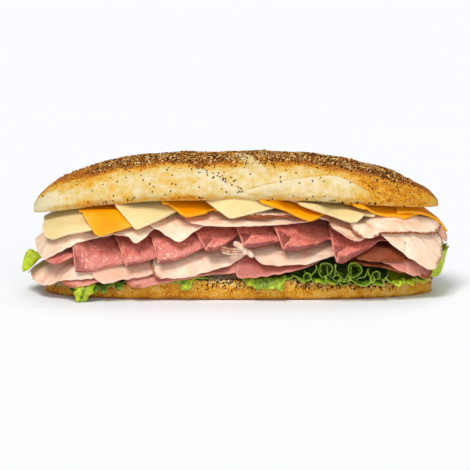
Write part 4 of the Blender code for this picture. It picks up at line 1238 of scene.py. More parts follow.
def tip_leaf(pile, finish):
    """The narrow leaf between the meats whose curled end shows at the left tip."""
    corners = ((-158, -12), (-158.5, 0), (-156, 10), (-140, 20), (-118, 24), (-100, 10), (-104, -16), (-146, -24), (-155, -20))
    outline = ragged(resampled(rounded(corners, 2.0, True), 0.8, True), 0.5, 4.0, 21)
    target = np.full(MESH_X.shape, 41.0)
    _, over = pile.rest(target, LEAF_THICKNESS + 0.2, 0.4)
    pile.cover(outline, over)

    def place(x, y):
        grown = smoothstep(past_spine(x, y)[0], 43.5, 53.0)
        turn = 2 * math.pi * (y + 3.0) / 10.5 + 0.6 * np.sin(y / 3.0) + 1.1 * np.sin((y + 10.0) / 6.5) * (y > -10)
        swing = 7.0 - 3.2 * smoothstep(y, 2.0, 12.0) - 2.0 * smoothstep(-y, 9.0, 16.0)
        z = height(x, y, sampled(over, x, y)) + grown * (swing * np.cos(turn) + 1.5)
        curled = x + grown * 1.6 * np.sin(turn) + 2.5 * grown * (1.0 + np.cos(turn)) / 2
        return np.column_stack([curled, y - 1.2 * grown * np.sin(turn), z])

    def marks(x, y, points, rim):
        return {"light": np.full(len(x), 1.0), "crusted": np.zeros(len(x))}

    def fine_at(x, y):
        return x < -138.0

    sheet("lettuce_1_leaf", outline, place, LEAF_THICKNESS, 1.0, finish, "lettuce", ("lettuce_1",), marks, None, fine_at)


def hanging_curl(finish):
    """The curled tongue of leaf that hangs over the lower crust near the left end."""
    rows, columns = 46, 41
    u = np.linspace(0.0, 1.0, rows)[:, None]
    v = np.linspace(-1.0, 1.0, columns)[None, :]
    path_x = -111.0 - 5.0 * u + 2.5 * np.sin(2.6 * u)
    path_y = -43.0 - 6.4 * np.sin(np.minimum(u * 1.9, math.pi / 2)) + 1.2 * u
    path_z = 15.5 + 1.0 * np.sin(3.0 * u) - 15.2 * u**1.25
    width = 3.0 + 4.2 * np.sin(math.pi * np.minimum(u * 0.9 + 0.12, 1.0)) ** 0.8
    bend = v * (1.1 + 0.9 * u)
    edge = np.abs(v) ** 2.2
    wave = np.sin(9.0 * u * 2.2 + 2.0 * np.sign(v)) * edge
    x = path_x + width * np.sin(bend) * 0.95 + 0.9 * wave
    y = path_y - 1.5 * np.cos(bend) * width * 0.34 + 0.7 * wave
    z = path_z + 0.9 * np.cos(14.0 * u + v * 2.0) * edge - 1.2 * edge * np.sin(3.0 * u)
    z = np.maximum(z, 0.6)
    points = np.stack([x, y, z + 0 * v], axis=-1)
    rim = (1.0 - np.abs(v)) * width + 0 * u
    attributes = {
        "light": np.clip(0.75 + 0.3 * np.abs(v) ** 2 - 0.5 * (np.abs(v) < 0.12) + 0 * u, 0, 1).ravel(),
        "rim": rim.ravel(),
        "plan": points.reshape(-1, 3) * MM,
    }
    closed_grid("lettuce_curl", points, 0.7, attributes, finish, "lettuce", ())


# Curls of the tall leaf that open to the front: x and z of the middle, radius, first and last
# angle in degrees, Y of the front edge, how light
CURLS = (
    (65.5, 25.5, 5.4, -60, 225, -51.6, 0.05),
    (86.5, 25.0, 6.0, -110, 200, -51.8, 0.0),
    (79.5, 16.0, 3.6, 120, 400, -51.2, 0.2),
    (52.0, 19.5, 3.0, -20, 220, -50.6, 0.15),
    (102.5, 20.5, 3.4, -70, 190, -50.6, 0.1),
    (73.5, 18.2, 2.6, 40, 300, -50.7, 0.1),
)
CURL_ROOT = -43.0


def lettuce_curls(finish):
    """Rolled ends of the tall leaf's frill, each a flared tube that stays open along one side."""
    for number, (x, z, radius, first, last, front, light) in enumerate(CURLS, 1):
        around = np.linspace(0.0, 1.0, 64)[:, None]
        out = np.linspace(0.0, 1.0, 18)[None, :]
        angle = np.radians(first + (last - first) * around)
        uneven = 1.0 + 0.07 * np.sin(3 * angle + number) + 0.03 * np.sin(8 * angle + 2 * number)
        reach = radius * (0.55 + 0.45 * out) * uneven * (1.0 - 0.25 * around)
        points = np.stack([
            x + reach * np.cos(angle),
            CURL_ROOT + (front - CURL_ROOT) * out + 0.7 * out * np.sin(2 * angle + number),
            z + reach * np.sin(angle) - 2.0 * (1.0 - out) + 0 * around,
        ], axis=-1)
        sides = np.minimum(around, 1.0 - around) * radius * np.radians(last - first)
        attributes = {
            # painted shade: darker towards the root deep inside the curl, lighter at its open front
            "light": (light - 0.3 + 0.4 * out**3 + 0 * around).ravel(),
            "rim": np.minimum((1.0 - out) * abs(front - CURL_ROOT), sides).ravel(),
            "plan": points.reshape(-1, 3) * MM,
        }
        closed_grid(f"lettuce_curl_{number}", points, 0.45, attributes, finish, "lettuce", ())


# Torn ends of turkey between two slices: start and stop as (x, z), width, how far browned
SHREDS = (
    ((-19, 42.2), (2, 39.8), 1.4, 0.8),
    ((-14, 40.0), (4, 37.6), 1.5, 0.9),
    ((-10, 37.6), (6, 35.4), 1.3, 0.6),
    ((-1, 45.5), (5, 39.5), 4.2, 0.0),
    ((2, 42.0), (8, 36.5), 4.6, 0.1),
    ((6, 39.0), (13, 34.6), 4.0, 0.0),
)
SHRED_FRONT = -50.6


def turkey_shreds(finish):
    """Torn ends of the lower turkey slices where two of them meet."""
    for number, (start, stop, width, browned) in enumerate(SHREDS, 1):
        along = np.linspace(0.0, 1.0, 34)[:, None]
        across = np.linspace(-1.0, 1.0, 9)[None, :]
        (x0, z0), (x1, z1) = start, stop
        length = math.hypot(x1 - x0, z1 - z0)
        frayed = 1.0 + 0.45 / width * np.sin(17.0 * along + 5 * across + number) * np.abs(across)
        taper = np.sqrt(np.sin(math.pi * (0.04 + 0.92 * along)))
        offset = width / 2 * across * frayed * taper + 0.5 * np.sin(5.0 * along + number)
        points = np.stack([
            x0 + (x1 - x0) * along - offset * (z1 - z0) / length,
            SHRED_FRONT + 0.8 * across**2 + 0.5 * np.sin(7.0 * along + number) + 0.1 * number,
            z0 + (z1 - z0) * along + offset * (x1 - x0) / length,
        ], axis=-1)
        points = points.reshape(-1, 3)
        rim = np.broadcast_to((1.0 - np.abs(across)) * width / 2, (34, 9)).ravel()
        attributes = {"rim": rim, "plan": points * MM, "crusted": np.full(len(points), browned)}
        # painted shade: the torn ends between two slices are darkened a little towards the deep colour
        attributes["tinted"] = np.full(len(points), 0.15)
        closed_grid(
            f"turkey_shred_{number}", points.reshape(34, 9, 3), 0.8, attributes, finish, "turkey", ()
        )


# ---------------------------------------------------------------------------
# Roll
# ---------------------------------------------------------------------------

ARC_PER_DEGREE = 0.78
SEED_LAYER = 0.9
# Scores in the upper crust: (x, degrees) corners, where 0 is the front side and 90 the crest
SCORES = (
    {"line": ((-40, 66), (-27, 53), (-19, 40), (-11, 28), (0, 12), (9, -4)), "depth": 1.2, "lip": 0.5},
    {"line": ((-3, 96), (4, 70), (11, 42)), "depth": 0.7, "lip": 0.5},
    {"line": ((10, 100), (17, 66), (24, 42)), "depth": 0.7, "lip": 0.4},
    {"line": ((8, 7), (33, 22), (48, 29), (60, 35), (70, 40), (85, 31), (100, 12)), "depth": 1.0, "lip": 1.5},
    {"line": ((-74, 150), (-52, 128), (-34, 108)), "depth": 0.9, "lip": 0.8},
    {"line": ((-18, 158), (6, 136), (26, 112)), "depth": 0.9, "lip": 0.8},
    {"line": ((44, 156), (66, 134), (84, 112)), "depth": 0.8, "lip": 0.8},
)
# How much darker or paler patches of the crust are: x, degrees, half-widths, amount
BAKE_PATCHES = (
    (-112, 48, 26, 20, 0.24), (-76, 66, 24, 14, 0.16), (-140, 20, 12, 60, -0.22),
    (-118, -12, 34, 13, 0.16), (-36, -16, 17, 12, 0.30), (-64, -20, 20, 8, 0.10),
    (50, 62, 40, 14, 0.12), (84, 54, 22, 14, 0.22), (112, 36, 24, 34, 0.34), (140, 20, 18, 70, 0.14),
    (56, 12, 34, 17, -0.08), (30, 42, 16, 8, 0.1), (96, 34, 14, 12, 0.12), (-20, 60, 30, 14, 0.24),
    (-112, 134, 28, 22, 0.30), (-60, 122, 26, 16, 0.18), (-58, 140, 13, 14, -0.30), (4, 146, 13, 14, -0.30),
    (62, 145, 13, 14, -0.28), (30, 118, 30, 12, 0.22),
    (112, -8, 30, 30, 0.22), (20, -22, 60, 8, 0.10), (110, 132, 26, 30, 0.36), (0, 198, 90, 12, 0.16),
)
SEED_PATCHES = (
    (-94, -14, 16, 14, 0.14), (-50, -8, 4, 10, 0.30), (22, -24, 8, 5, 0.35), (90, -22, 24, 6, 0.38),
    (-22, 45, 5, 6, 0.5), (-14, 33, 5, 6, 0.6), (-6, 20, 5, 6, 0.6), (3, 6, 5, 6, 0.5), (120, 62, 12, 22, 0.30),
    (-70, 196, 26, 8, 0.30), (40, 198, 30, 8, 0.30), (-30, 150, 20, 12, 0.2),
)


def bare_strip(x, angle):
    """1 on the pale strip of a score at the crest, where no seeds lie."""
    middle = 17.0 - (angle - 43.0) * 0.32
    return (1.0 - smoothstep(np.abs(x - middle), 5.0, 7.5)) * smoothstep(angle, 37.0, 45.0) * (1.0 - smoothstep(angle, 92.0, 102.0))


def upper_sections(xs, angles):
    """Points of the domed crust at each station and angle, angle 0 at the front side."""
    along = xs / TOP_HALF_LENGTH
    width = TOP_HALF_WIDTH * np.maximum(1.0 - np.abs(along) ** 3.4, 0.0) ** 0.5
    power = np.where(along < 0, 4.0, 3.1)
    root = np.where(along < 0, 0.5, 0.62)
    rise = TOP_RISE * np.maximum(1.0 - np.abs(along) ** power, 0.0) ** root
    cut = TOP_CUT - end_droop(xs, TOP_CUT)
    tuck = np.minimum(0.22 * rise, 5.0)
    c, s = np.cos(np.radians(angles)), np.sin(np.radians(angles))
    y = -width[:, None] * (np.sign(c) * np.abs(c) ** 0.88)[None, :]
    low = tuck[:, None] + 2.0 * (tuck[:, None] + TOP_RIM_LIP) * s[None, :]
    high = tuck[:, None] + (rise - tuck)[:, None] * s[None, :]
    z = cut[:, None] + np.where(s[None, :] > 0, high, low)
    x = np.broadcast_to(xs[:, None], y.shape)
    return np.stack([x, y, z], axis=-1)


def patch_sum(x, angle, patches):
    """Sum of soft patches on the crust."""
    total = np.zeros(np.shape(x))
    for px, pa, wide, tall, amount in patches:
        total = total + amount * np.exp(-((x - px) / wide) ** 2 - ((angle - pa) / tall) ** 2)
    return total


def score_fields(x, angle):
    """Relief and bake change from the scores in the crust."""
    relief = np.zeros(np.shape(x))
    bake = np.zeros(np.shape(x))
    for score in SCORES:
        line = rounded([(px, pa * ARC_PER_DEGREE) for px, pa in score["line"]], 4.0, False, 1.0)
        flat = np.stack([x.ravel(), angle.ravel() * ARC_PER_DEGREE], axis=1)
        near = distance_to(flat, line).reshape(np.shape(x))
        level = np.interp(x, line[:, 0], line[:, 1])
        under = smoothstep(level - angle * ARC_PER_DEGREE, -0.6, 0.8)
        ends = smoothstep(x, line[0, 0] - 4, line[0, 0] + 6) * (1 - smoothstep(x, line[-1, 0] - 6, line[-1, 0] + 4))
        wobble = 1.0 + 0.35 * ripple(x, angle, 9.0, 31)
        relief += ends * score["lip"] * under * np.exp(-((near / 9.0) ** 2))
        relief -= ends * score["depth"] * np.exp(-((near / (1.0 * wobble)) ** 2))
        bake += ends * (0.10 * np.exp(-((near / 1.2) ** 2)) - 0.16 * under * np.exp(-((near / 8.0) ** 2)))
    return relief, bake


def closed_body(grid, closed=True):
    """Triangles of a tube of sections with fans over its two ends."""
    rows, columns = grid.shape[:2]
    points = grid.reshape(-1, 3)
    faces = grid_faces(rows, columns, closed)
    first, last = grid[0].mean(axis=0), grid[-1].mean(axis=0)
    points = np.vstack([points, first, last])
    ring = np.arange(columns)
    following = np.roll(ring, -1)
    start, stop = len(points) - 2, len(points) - 1
    base = (rows - 1) * columns
    fans = [
        np.stack([following, ring, np.full(columns, start)], 1),
        np.stack([base + ring, base + following, np.full(columns, stop)], 1),
    ]
    return points, np.vstack([faces] + fans)


def outward_faces(points, faces):
    """The faces turned so that the body's volume is positive."""
    a, b, c = (points[faces[:, k]] for k in range(3))
    volume = np.einsum("ij,ij->i", a, np.cross(b, c)).sum()
    return faces[:, ::-1] if volume < 0 else faces


def build_top(crust, crumb):
    """Upper half of the roll. Returns the crust's points, angles and faces for scattering."""
    turn = np.linspace(-1.0, 1.0, 250)
    xs = TOP_HALF_LENGTH * 0.996 * np.sign(turn) * (1.0 - (1.0 - np.abs(turn)) ** 1.35)
    angles = np.linspace(-30.0, 210.0, 150)
    dome = upper_sections(xs, angles)
    x, angle = np.broadcast_to(xs[:, None], dome.shape[:2]), np.broadcast_to(angles[None, :], dome.shape[:2])
    relief, score_bake = score_fields(x, angle)
    arc = angle * ARC_PER_DEGREE
    uneven = 0.5 * ripple(x, arc, 34.0, 3) + 0.22 * ripple(x, arc, 11.0, 4) + 0.10 * ripple(x, arc, 4.2, 6, 12)
    tips = smoothstep(TOP_HALF_LENGTH - np.abs(x), 1.0, 14.0)
    margin = smoothstep(np.minimum(angle + 30.0, 210.0 - angle), 0.0, 14.0)
    crest = np.minimum(angle, 180.0 - angle)
    seeded = SEED_LAYER * smoothstep(crest, 40.0, 75.0) * smoothstep(TOP_HALF_LENGTH - np.abs(x), 6.0, 40.0)
    seeded = seeded + 0.9 * np.exp(-(((x + 48.0) / 34.0) ** 2)) * smoothstep(crest, 20.0, 75.0)
    moved = (relief + uneven - seeded) * tips * (0.35 + 0.65 * margin)
    flat = dome.reshape(-1, 3)
    normals = point_normals(flat, outward_grid(flat, grid_faces(*dome.shape[:2])))
    flat = flat + normals * moved.reshape(-1, 1)
    dome = flat.reshape(dome.shape)
    edge_front, edge_back = dome[:, 0], dome[:, -1]
    across = np.linspace(1.0, 0.0, 26)[1:-1]
    face = edge_front[:, None] * across[None, :, None] + edge_back[:, None] * (1.0 - across)[None, :, None]
    rows = np.broadcast_to(xs[:, None], face.shape[:2])
    face[..., 2] += arch(rows, face[..., 1]) + 0.25 * ripple(rows, face[..., 1], 6.0, 9)
    section = np.concatenate([dome, face[:, ::-1]], axis=1)
    points, faces = closed_body(section)
    faces = outward_faces(points, faces)
    count = section.shape[1]
    column = faces % count
    kinds = ((column >= len(angles)).sum(axis=1) >= 1) & (faces.max(axis=1) < len(points) - 2)
    bake = 0.13 + 0.50 * smoothstep(crest + 5.0 * ripple(x, arc, 30.0, 12), 44.0, 74.0)
    bake = bake + patch_sum(x, angle, BAKE_PATCHES) + score_bake + 0.04 * ripple(x, arc, 13.0, 14)
    bake = bake - 0.10 * (1.0 - smoothstep(x, -150.0, -128.0))
    bake = bake * (1.0 - bare_strip(x, angle)) + 0.12 * bare_strip(x, angle)
    full = np.zeros(section.shape[:2])
    full[:, : len(angles)] = bake
    full[:, len(angles):] = 0.1
    values = np.concatenate([full.ravel(), [0.1, 0.2]])
    mesh_object(
        "roll_top_bread", points, faces, [crust, crumb], "crust", ("roll_top",),
        {"bake": values}, sharp=0.9, kinds=kinds,
    )
    return dome, x, angle


def outward_grid(points, faces):
    """Grid triangles turned to face away from the body's middle line."""
    corners = points[faces]
    normal = np.cross(corners[:, 1] - corners[:, 0], corners[:, 2] - corners[:, 0])
    middle = corners.mean(axis=1)
    centre = middle * (1.0, 0.0, 0.0) + (0.0, 0.0, TOP_CUT)
    return faces[:, ::-1] if ((middle - centre) * normal).sum() < 0 else faces


BASE_ANGLES = ((0.975, 0), (1.0, 1))


def lower_profile(xs, steps=60):
    """Half section of the lower half, from the rim of the cut face down to the underside."""
    along = (xs - BASE_MIDDLE) / BASE_HALF_LENGTH
    width = BASE_HALF_WIDTH * np.maximum(1.0 - np.abs(along) ** 3.4, 0.0) ** 0.5
    cut = BASE_CUT - end_droop(xs, BASE_CUT)
    belly = 0.62 * cut
    sections = []
    for w, c, b in zip(width, cut, belly):
        line = [(0.95 * w, c), (0.985 * w, c), (1.0 * w, 0.5 * (c + b))]
        for angle in np.radians(np.linspace(0.0, 90.0, 10)):
            line.append(((0.84 + 0.16 * math.cos(angle)) * w, b * (1.0 - math.sin(angle))))
        line.append((0.6 * w, 0.0))
        line.append((0.0, 0.0))
        smooth = rounded(line, 0.9, False, 0.4)
        at = np.linspace(0.0, 1.0, len(smooth))
        want = np.linspace(0.0, 1.0, steps) ** 1.3
        sections.append(np.stack([np.interp(want, at, smooth[:, 0]), np.maximum(np.interp(want, at, smooth[:, 1]), 0.0)], 1))
    return np.array(sections)


BASE_BAKE_PATCHES = (
    (-118, 0, 22, 60, 0.02), (118, 0, 26, 60, -0.08), (-60, 0, 40, 60, 0.04), (20, 0, 30, 60, -0.06),
)


def build_base(crust, crumb):
    """Lower half of the roll. Returns its side crust for scattering."""
    turn = np.linspace(-1.0, 1.0, 240)
    xs = BASE_MIDDLE + BASE_HALF_LENGTH * 0.996 * np.sign(turn) * (1.0 - (1.0 - np.abs(turn)) ** 1.35)
    half = lower_profile(xs)
    steps = half.shape[1]
    front = np.stack([np.broadcast_to(xs[:, None], half.shape[:2]), -half[..., 0], half[..., 1]], axis=-1)
    back = front * (1.0, -1.0, 1.0)
    side = np.concatenate([front, back[:, -2::-1]], axis=1)
    x = side[..., 0]
    level = side[..., 2]
    flat = side.reshape(-1, 3)
    bumps = 0.4 * ripple(x, side[..., 1] + level * 1.4, 26.0, 41) + 0.22 * ripple(x, side[..., 1] + 2 * level, 7.0, 42)
    lift = smoothstep(level, 1.0, 6.0) * smoothstep(BASE_HALF_LENGTH - np.abs(x - BASE_MIDDLE), 1.0, 12.0)
    normals = point_normals(flat, outward_base(flat, grid_faces(*side.shape[:2])))
    flat = flat + normals * (bumps * lift).reshape(-1, 1)
    side = flat.reshape(side.shape)
    share = np.linspace(1.0, 0.0, 26)[1:-1]
    face = side[:, :1] * share[None, :, None] + side[:, -1:] * (1.0 - share)[None, :, None]
    rows = np.broadcast_to(xs[:, None], face.shape[:2])
    face[..., 2] += 0.86 * arch(rows, face[..., 1]) + 0.2 * ripple(rows, face[..., 1], 6.0, 49)
    section = np.concatenate([side, face[:, ::-1]], axis=1)
    points, faces = closed_body(section)
    faces = outward_faces(points, faces)
    column = faces % section.shape[1]
    kinds = ((column >= side.shape[1]).sum(axis=1) >= 1) & (faces.max(axis=1) < len(points) - 2)
    cut = BASE_CUT - end_droop(x, BASE_CUT)
    share_up = np.clip(level / cut, 0.0, 1.0)
    bake = 0.43 + 0.14 * smoothstep(0.3 - share_up, 0.0, 0.3) - 0.16 * smoothstep(share_up, 0.72, 1.0)
    bake = bake + patch_sum(x, 0 * x, BASE_BAKE_PATCHES) + 0.06 * ripple(x, side[..., 1] + level, 15.0, 44)
    full = np.full(section.shape[:2], 0.1)
    full[:, : side.shape[1]] = bake
    values = np.concatenate([full.ravel(), [0.5, 0.5]])
    mesh_object(
        "roll_base_bread", points, faces, [crust, crumb], "crust", ("roll_base",),
        {"bake": values}, sharp=0.9, kinds=kinds,
    )
    return side, x, share_up


def outward_base(points, faces):
    """Grid triangles of the lower crust turned to face outwards."""
    corners = points[faces]
    normal = np.cross(corners[:, 1] - corners[:, 0], corners[:, 2] - corners[:, 0])
    middle = corners.mean(axis=1)
    centre = middle * (1.0, 0.0, 0.0) + (0.0, 0.0, BASE_CUT)
    return faces[:, ::-1] if ((middle - centre) * normal).sum() < 0 else faces


# ---------------------------------------------------------------------------
# Seeds and crumbs
# ---------------------------------------------------------------------------


def ball(rings, spokes, shape):
    """A small closed seed: points of a ball squashed and tapered by the shape function."""
    points, faces = [(0.0, 0.0, 1.0)], []
    for r in range(1, rings):
        polar = math.pi * r / rings
        for s in range(spokes):
            turn = 2 * math.pi * (s + 0.5 * (r % 2)) / spokes
            points.append((math.sin(polar) * math.cos(turn), math.sin(polar) * math.sin(turn), math.cos(polar)))
    points.append((0.0, 0.0, -1.0))
    last = len(points) - 1
    for s in range(spokes):
        n = (s + 1) % spokes
        faces.append((0, 1 + s, 1 + n))
        base = 1 + (rings - 2) * spokes
        faces.append((last, base + n, base + s))
        for r in range(rings - 2):
            a, b = 1 + r * spokes + s, 1 + r * spokes + n
            faces += [(a, a + spokes, b + spokes), (a, b + spokes, b)]
    return shape(np.array(points)), np.array(faces)


def poppy_shape(p):
    return p * (0.56, 0.47, 0.43)


def sesame_shape(p):
    taper = 1.0 - 0.38 * (p[:, :1] + 1.0) / 2
    return p * (1.55, 0.95, 0.42) * np.hstack([np.ones_like(taper), taper, taper])


def flake_shape(p):
    bent = p * (1.25, 0.9, 0.22)
    bent[:, 2] += 0.22 * bent[:, 0] ** 2 - 0.15 * bent[:, 1] ** 2
    return bent


def crumb_shape(p):
    lumpy = 1.0 + 0.3 * np.sin(3.1 * p[:, :1] + 2.0 * p[:, 1:2]) * np.cos(2.7 * p[:, 2:3])
    return p * (0.5, 0.4, 0.32) * lumpy


def scattered(name, form, spots, normals, draw, finish, sizes, sink, slot="crust"):
    """Copies of a form standing on a surface, joined as one piece."""
    shape, faces = form
    count = len(spots)
    across = np.cross(normals, (0.3, 0.5, 0.81))
    across /= np.linalg.norm(across, axis=1, keepdims=True)
    other = np.cross(normals, across)
    turn = draw.uniform(0.0, 2 * math.pi, count)[:, None]
    first = across * np.cos(turn) + other * np.sin(turn)
    second = np.cross(normals, first)
    tilt = draw.normal(0.0, 0.28, (count, 1))
    up = normals + first * tilt + second * draw.normal(0.0, 0.22, (count, 1))
    up /= np.linalg.norm(up, axis=1, keepdims=True)
    first = np.cross(second, up)
    first /= np.linalg.norm(first, axis=1, keepdims=True)
    second = np.cross(up, first)
    size = draw.uniform(*sizes, count)[:, None, None]
    body = (
        shape[None, :, 0:1] * first[:, None, :]
        + shape[None, :, 1:2] * second[:, None, :]
        + shape[None, :, 2:3] * up[:, None, :]
    ) * size
    lift = (shape[:, 2].max() * (1.0 - sink)) * size
    points = (spots[:, None, :] + normals[:, None, :] * lift + body).reshape(-1, 3)
    every = (faces[None] + (np.arange(count) * len(shape))[:, None, None]).reshape(-1, 3)
    each = np.repeat(draw.uniform(0.0, 1.0, count), len(shape))
    return mesh_object(name, points, every, finish, slot, (), {"each": each})


def spots_on(grid, weights, count, draw):
    """Random places on a grid surface, chosen by area and weight, with their normals."""
    rows, columns = grid.shape[:2]
    flat = grid.reshape(-1, 3)
    faces = grid_faces(rows, columns)
    a, b, c = (flat[faces[:, k]] for k in range(3))
    across = np.cross(b - a, c - a)
    area = np.linalg.norm(across, axis=1)
    weight = area * weights.ravel()[faces].mean(axis=1)
    chosen = draw.choice(len(faces), count, p=weight / weight.sum())
    s, t = draw.uniform(0, 1, (2, count))
    s, t = np.where(s + t > 1, 1 - s, s), np.where(s + t > 1, 1 - t, t)
    spots = a[chosen] + (b - a)[chosen] * s[:, None] + (c - a)[chosen] * t[:, None]
    normals = across[chosen] / np.maximum(area[chosen], 1e-9)[:, None]
    centre = flat.mean(axis=0) * (0.0, 1.0, 1.0) + spots * (1.0, 0.0, 0.0)
    turned = ((spots - centre) * normals).sum(axis=1) < 0
    normals[turned] *= -1.0
    return spots, normals


def seed_density(x, angle):
    """How thickly the seeds lie on the upper crust."""
    arc = angle * ARC_PER_DEGREE
    crest = np.minimum(angle, 180.0 - angle)
    wander = 6.0 * ripple(x, arc, 26.0, 61) + 3.0 * ripple(x, arc, 8.0, 62)
    band = smoothstep(crest + wander, 56.0, 74.0)
    band *= smoothstep(x, -118.0, -84.0) * (1.0 - smoothstep(x, 108.0, 132.0))
    clumps = 0.55 + 0.45 * np.clip(ripple(x, arc, 5.0, 63) + 0.3, 0.0, 1.0)
    bare = bare_strip(x, angle)
    for px, pa in ((-56, 138), (6, 144), (64, 142)):
        bare += np.exp(-(((x - px) / 10.0) ** 2) - ((angle - pa) / 14.0) ** 2)
    return band * clumps * np.clip(1.0 - bare, 0.04, 1.0)


def flank_density(x, angle):
    """The few seeds that fell on the flanks."""
    spread_out = 0.012 * smoothstep(x, -130.0, -100.0) * (1.0 - smoothstep(x, 112.0, 126.0))
    return spread_out * smoothstep(np.minimum(angle, 180 - angle), -29.0, -22.0) + 0.5 * patch_sum(x, angle, SEED_PATCHES)


def sprinkle(top, base, finishes):
    """Seeds, onion flakes and crumbs over both halves of the roll."""
    draw = np.random.default_rng(90)
    dome, x, angle = top
    side, base_x, share_up = base
    crest = seed_density(x, angle)
    flank = flank_density(x, angle)
    poppy = ball(4, 7, poppy_shape)
    sesame = ball(5, 8, sesame_shape)
    flake = ball(4, 7, flake_shape)
    crumb = ball(3, 5, crumb_shape)
    spots, normals = spots_on(dome, crest + 0.10 * flank, 2300, draw)
    scattered("poppy_seeds_crest", poppy, spots, normals, draw, finishes["poppy"], (0.85, 1.2), 0.25)
    spots, normals = spots_on(dome, flank, 330, draw)
    scattered("poppy_seeds_flank", poppy, spots, normals, draw, finishes["poppy"], (0.95, 1.3), 0.25)
    spots, normals = spots_on(dome, crest + 0.03 * flank, 620, draw)
    scattered("sesame_seeds", sesame, spots, normals, draw, finishes["sesame"], (0.8, 1.05), 0.3)
    spots, normals = spots_on(dome, crest + 0.01 * flank, 900, draw)
    scattered("onion_flakes", flake, spots, normals, draw, finishes["onion"], (0.6, 1.35), 0.1)
    browned = np.clip(crest + 0.25 * smoothstep(np.minimum(angle, 180 - angle), 30.0, 70.0), 0.0, 1.2)
    spots, normals = spots_on(dome, browned, 2600, draw)
    scattered("toasted_crumbs", crumb, spots, normals, draw, finishes["toast"], (0.7, 1.9), 0.2)
    rim = smoothstep(share_up, 0.45, 0.95) * (side[..., 2] > 4.0)
    windows = (
        np.exp(-(((base_x + 90) / 9.0) ** 2)) * 0.8
        + np.exp(-(((base_x + 4) / 18.0) ** 2)) * 1.1
        + smoothstep(base_x, 38.0, 50.0) * (1.0 - smoothstep(base_x, 112.0, 122.0))
        + 0.04
    )
    spots, normals = spots_on(side, rim * windows, 950, draw)
    scattered("poppy_seeds_base", poppy, spots, normals, draw, finishes["poppy"], (0.85, 1.2), 0.3)
    spots, normals = spots_on(side, rim * windows, 150, draw)
    scattered("sesame_seeds_base", sesame, spots, normals, draw, finishes["sesame"], (0.7, 0.95), 0.3)
    spots, normals = spots_on(side, rim * windows, 150, draw)
    scattered("onion_flakes_base", flake, spots, normals, draw, finishes["onion"], (0.5, 1.0), 0.1)


# ---------------------------------------------------------------------------
# Stage
# ---------------------------------------------------------------------------

CAMERA_AIM = (-0.7, 0.0, 41.6)
CAMERA_DISTANCE = 3000.0
CAMERA_ELEVATION = 10.0
VIEW_WIDTH = 349.7
SENSOR = 36.0
AMBIENT = 0.25


def soft_light(name, azimuth, elevation, spread_angle, power, colour):
    """A far soft light. Azimuth 0 shines from the front and 90 from the right."""
    data = bpy.data.lights.new(name, "SUN")
    data.angle = math.radians(spread_angle)
    data.energy = power
    data.color = colour
    lamp = bpy.data.objects.new(name, data)
    turn, tilt = math.radians(azimuth), math.radians(elevation)
    away = Vector((math.sin(turn) * math.cos(tilt), -math.cos(turn) * math.cos(tilt), math.sin(tilt)))
    lamp.rotation_euler = away.to_track_quat("Z", "Y").to_euler()
    bpy.context.scene.collection.objects.link(lamp)


def set_stage():
    """Floor, light, world and camera."""
    scene = bpy.context.scene
    scene.view_settings.view_transform = "Standard"
    scene.view_settings.look = "None"
    half = 4.0
    mesh = bpy.data.meshes.new("floor")
    mesh.from_pydata([(-half, -half, 0), (half, -half, 0), (half, half, 0), (-half, half, 0)], [], [(0, 1, 2, 3)])
    floor = bpy.data.objects.new("floor", mesh)
    scene.collection.objects.link(floor)
    plain = Finish("floor")
    shade = plain.blend(plain.noise(400.0), tone(246, 249, 255), tone(242, 246, 253))
    mesh.materials.append(plain.done(shade, 0.6, gloss=0.2))
    world = bpy.data.worlds.new("studio")
    world.use_nodes = True
    background = world.node_tree.nodes["Background"]
    background.inputs["Color"].default_value = (1.0, 1.0, 1.0, 1.0)
    rays = world.node_tree.nodes.new("ShaderNodeLightPath")
    strength = world.node_tree.nodes.new("ShaderNodeMapRange")
    strength.inputs["To Min"].default_value = AMBIENT
    strength.inputs["To Max"].default_value = 1.0
    world.node_tree.links.new(rays.outputs["Is Camera Ray"], strength.inputs["Value"])
    world.node_tree.links.new(strength.outputs["Result"], background.inputs["Strength"])
    scene.world = world
    soft_light("key", -25.0, 57.0, 24.0, 2.3, (1.0, 0.98, 0.94))
    soft_light("fill", 10.0, 14.0, 60.0, 1.3, (1.0, 0.98, 0.95))
    soft_light("top", 160.0, 62.0, 40.0, 0.55, (1.0, 0.99, 0.97))
    data = bpy.data.cameras.new("camera")
    camera = bpy.data.objects.new("camera", data)
    scene.collection.objects.link(camera)
    tilt = math.radians(CAMERA_ELEVATION)
    away = Vector((0.0, -math.cos(tilt), math.sin(tilt)))
    camera.location = (Vector(CAMERA_AIM) + away * CAMERA_DISTANCE) * MM
    camera.rotation_euler = away.to_track_quat("Z", "Y").to_euler()
    data.sensor_width = SENSOR
    data.lens = SENSOR * CAMERA_DISTANCE / VIEW_WIDTH
    data.clip_end = 50.0
    scene.camera = camera


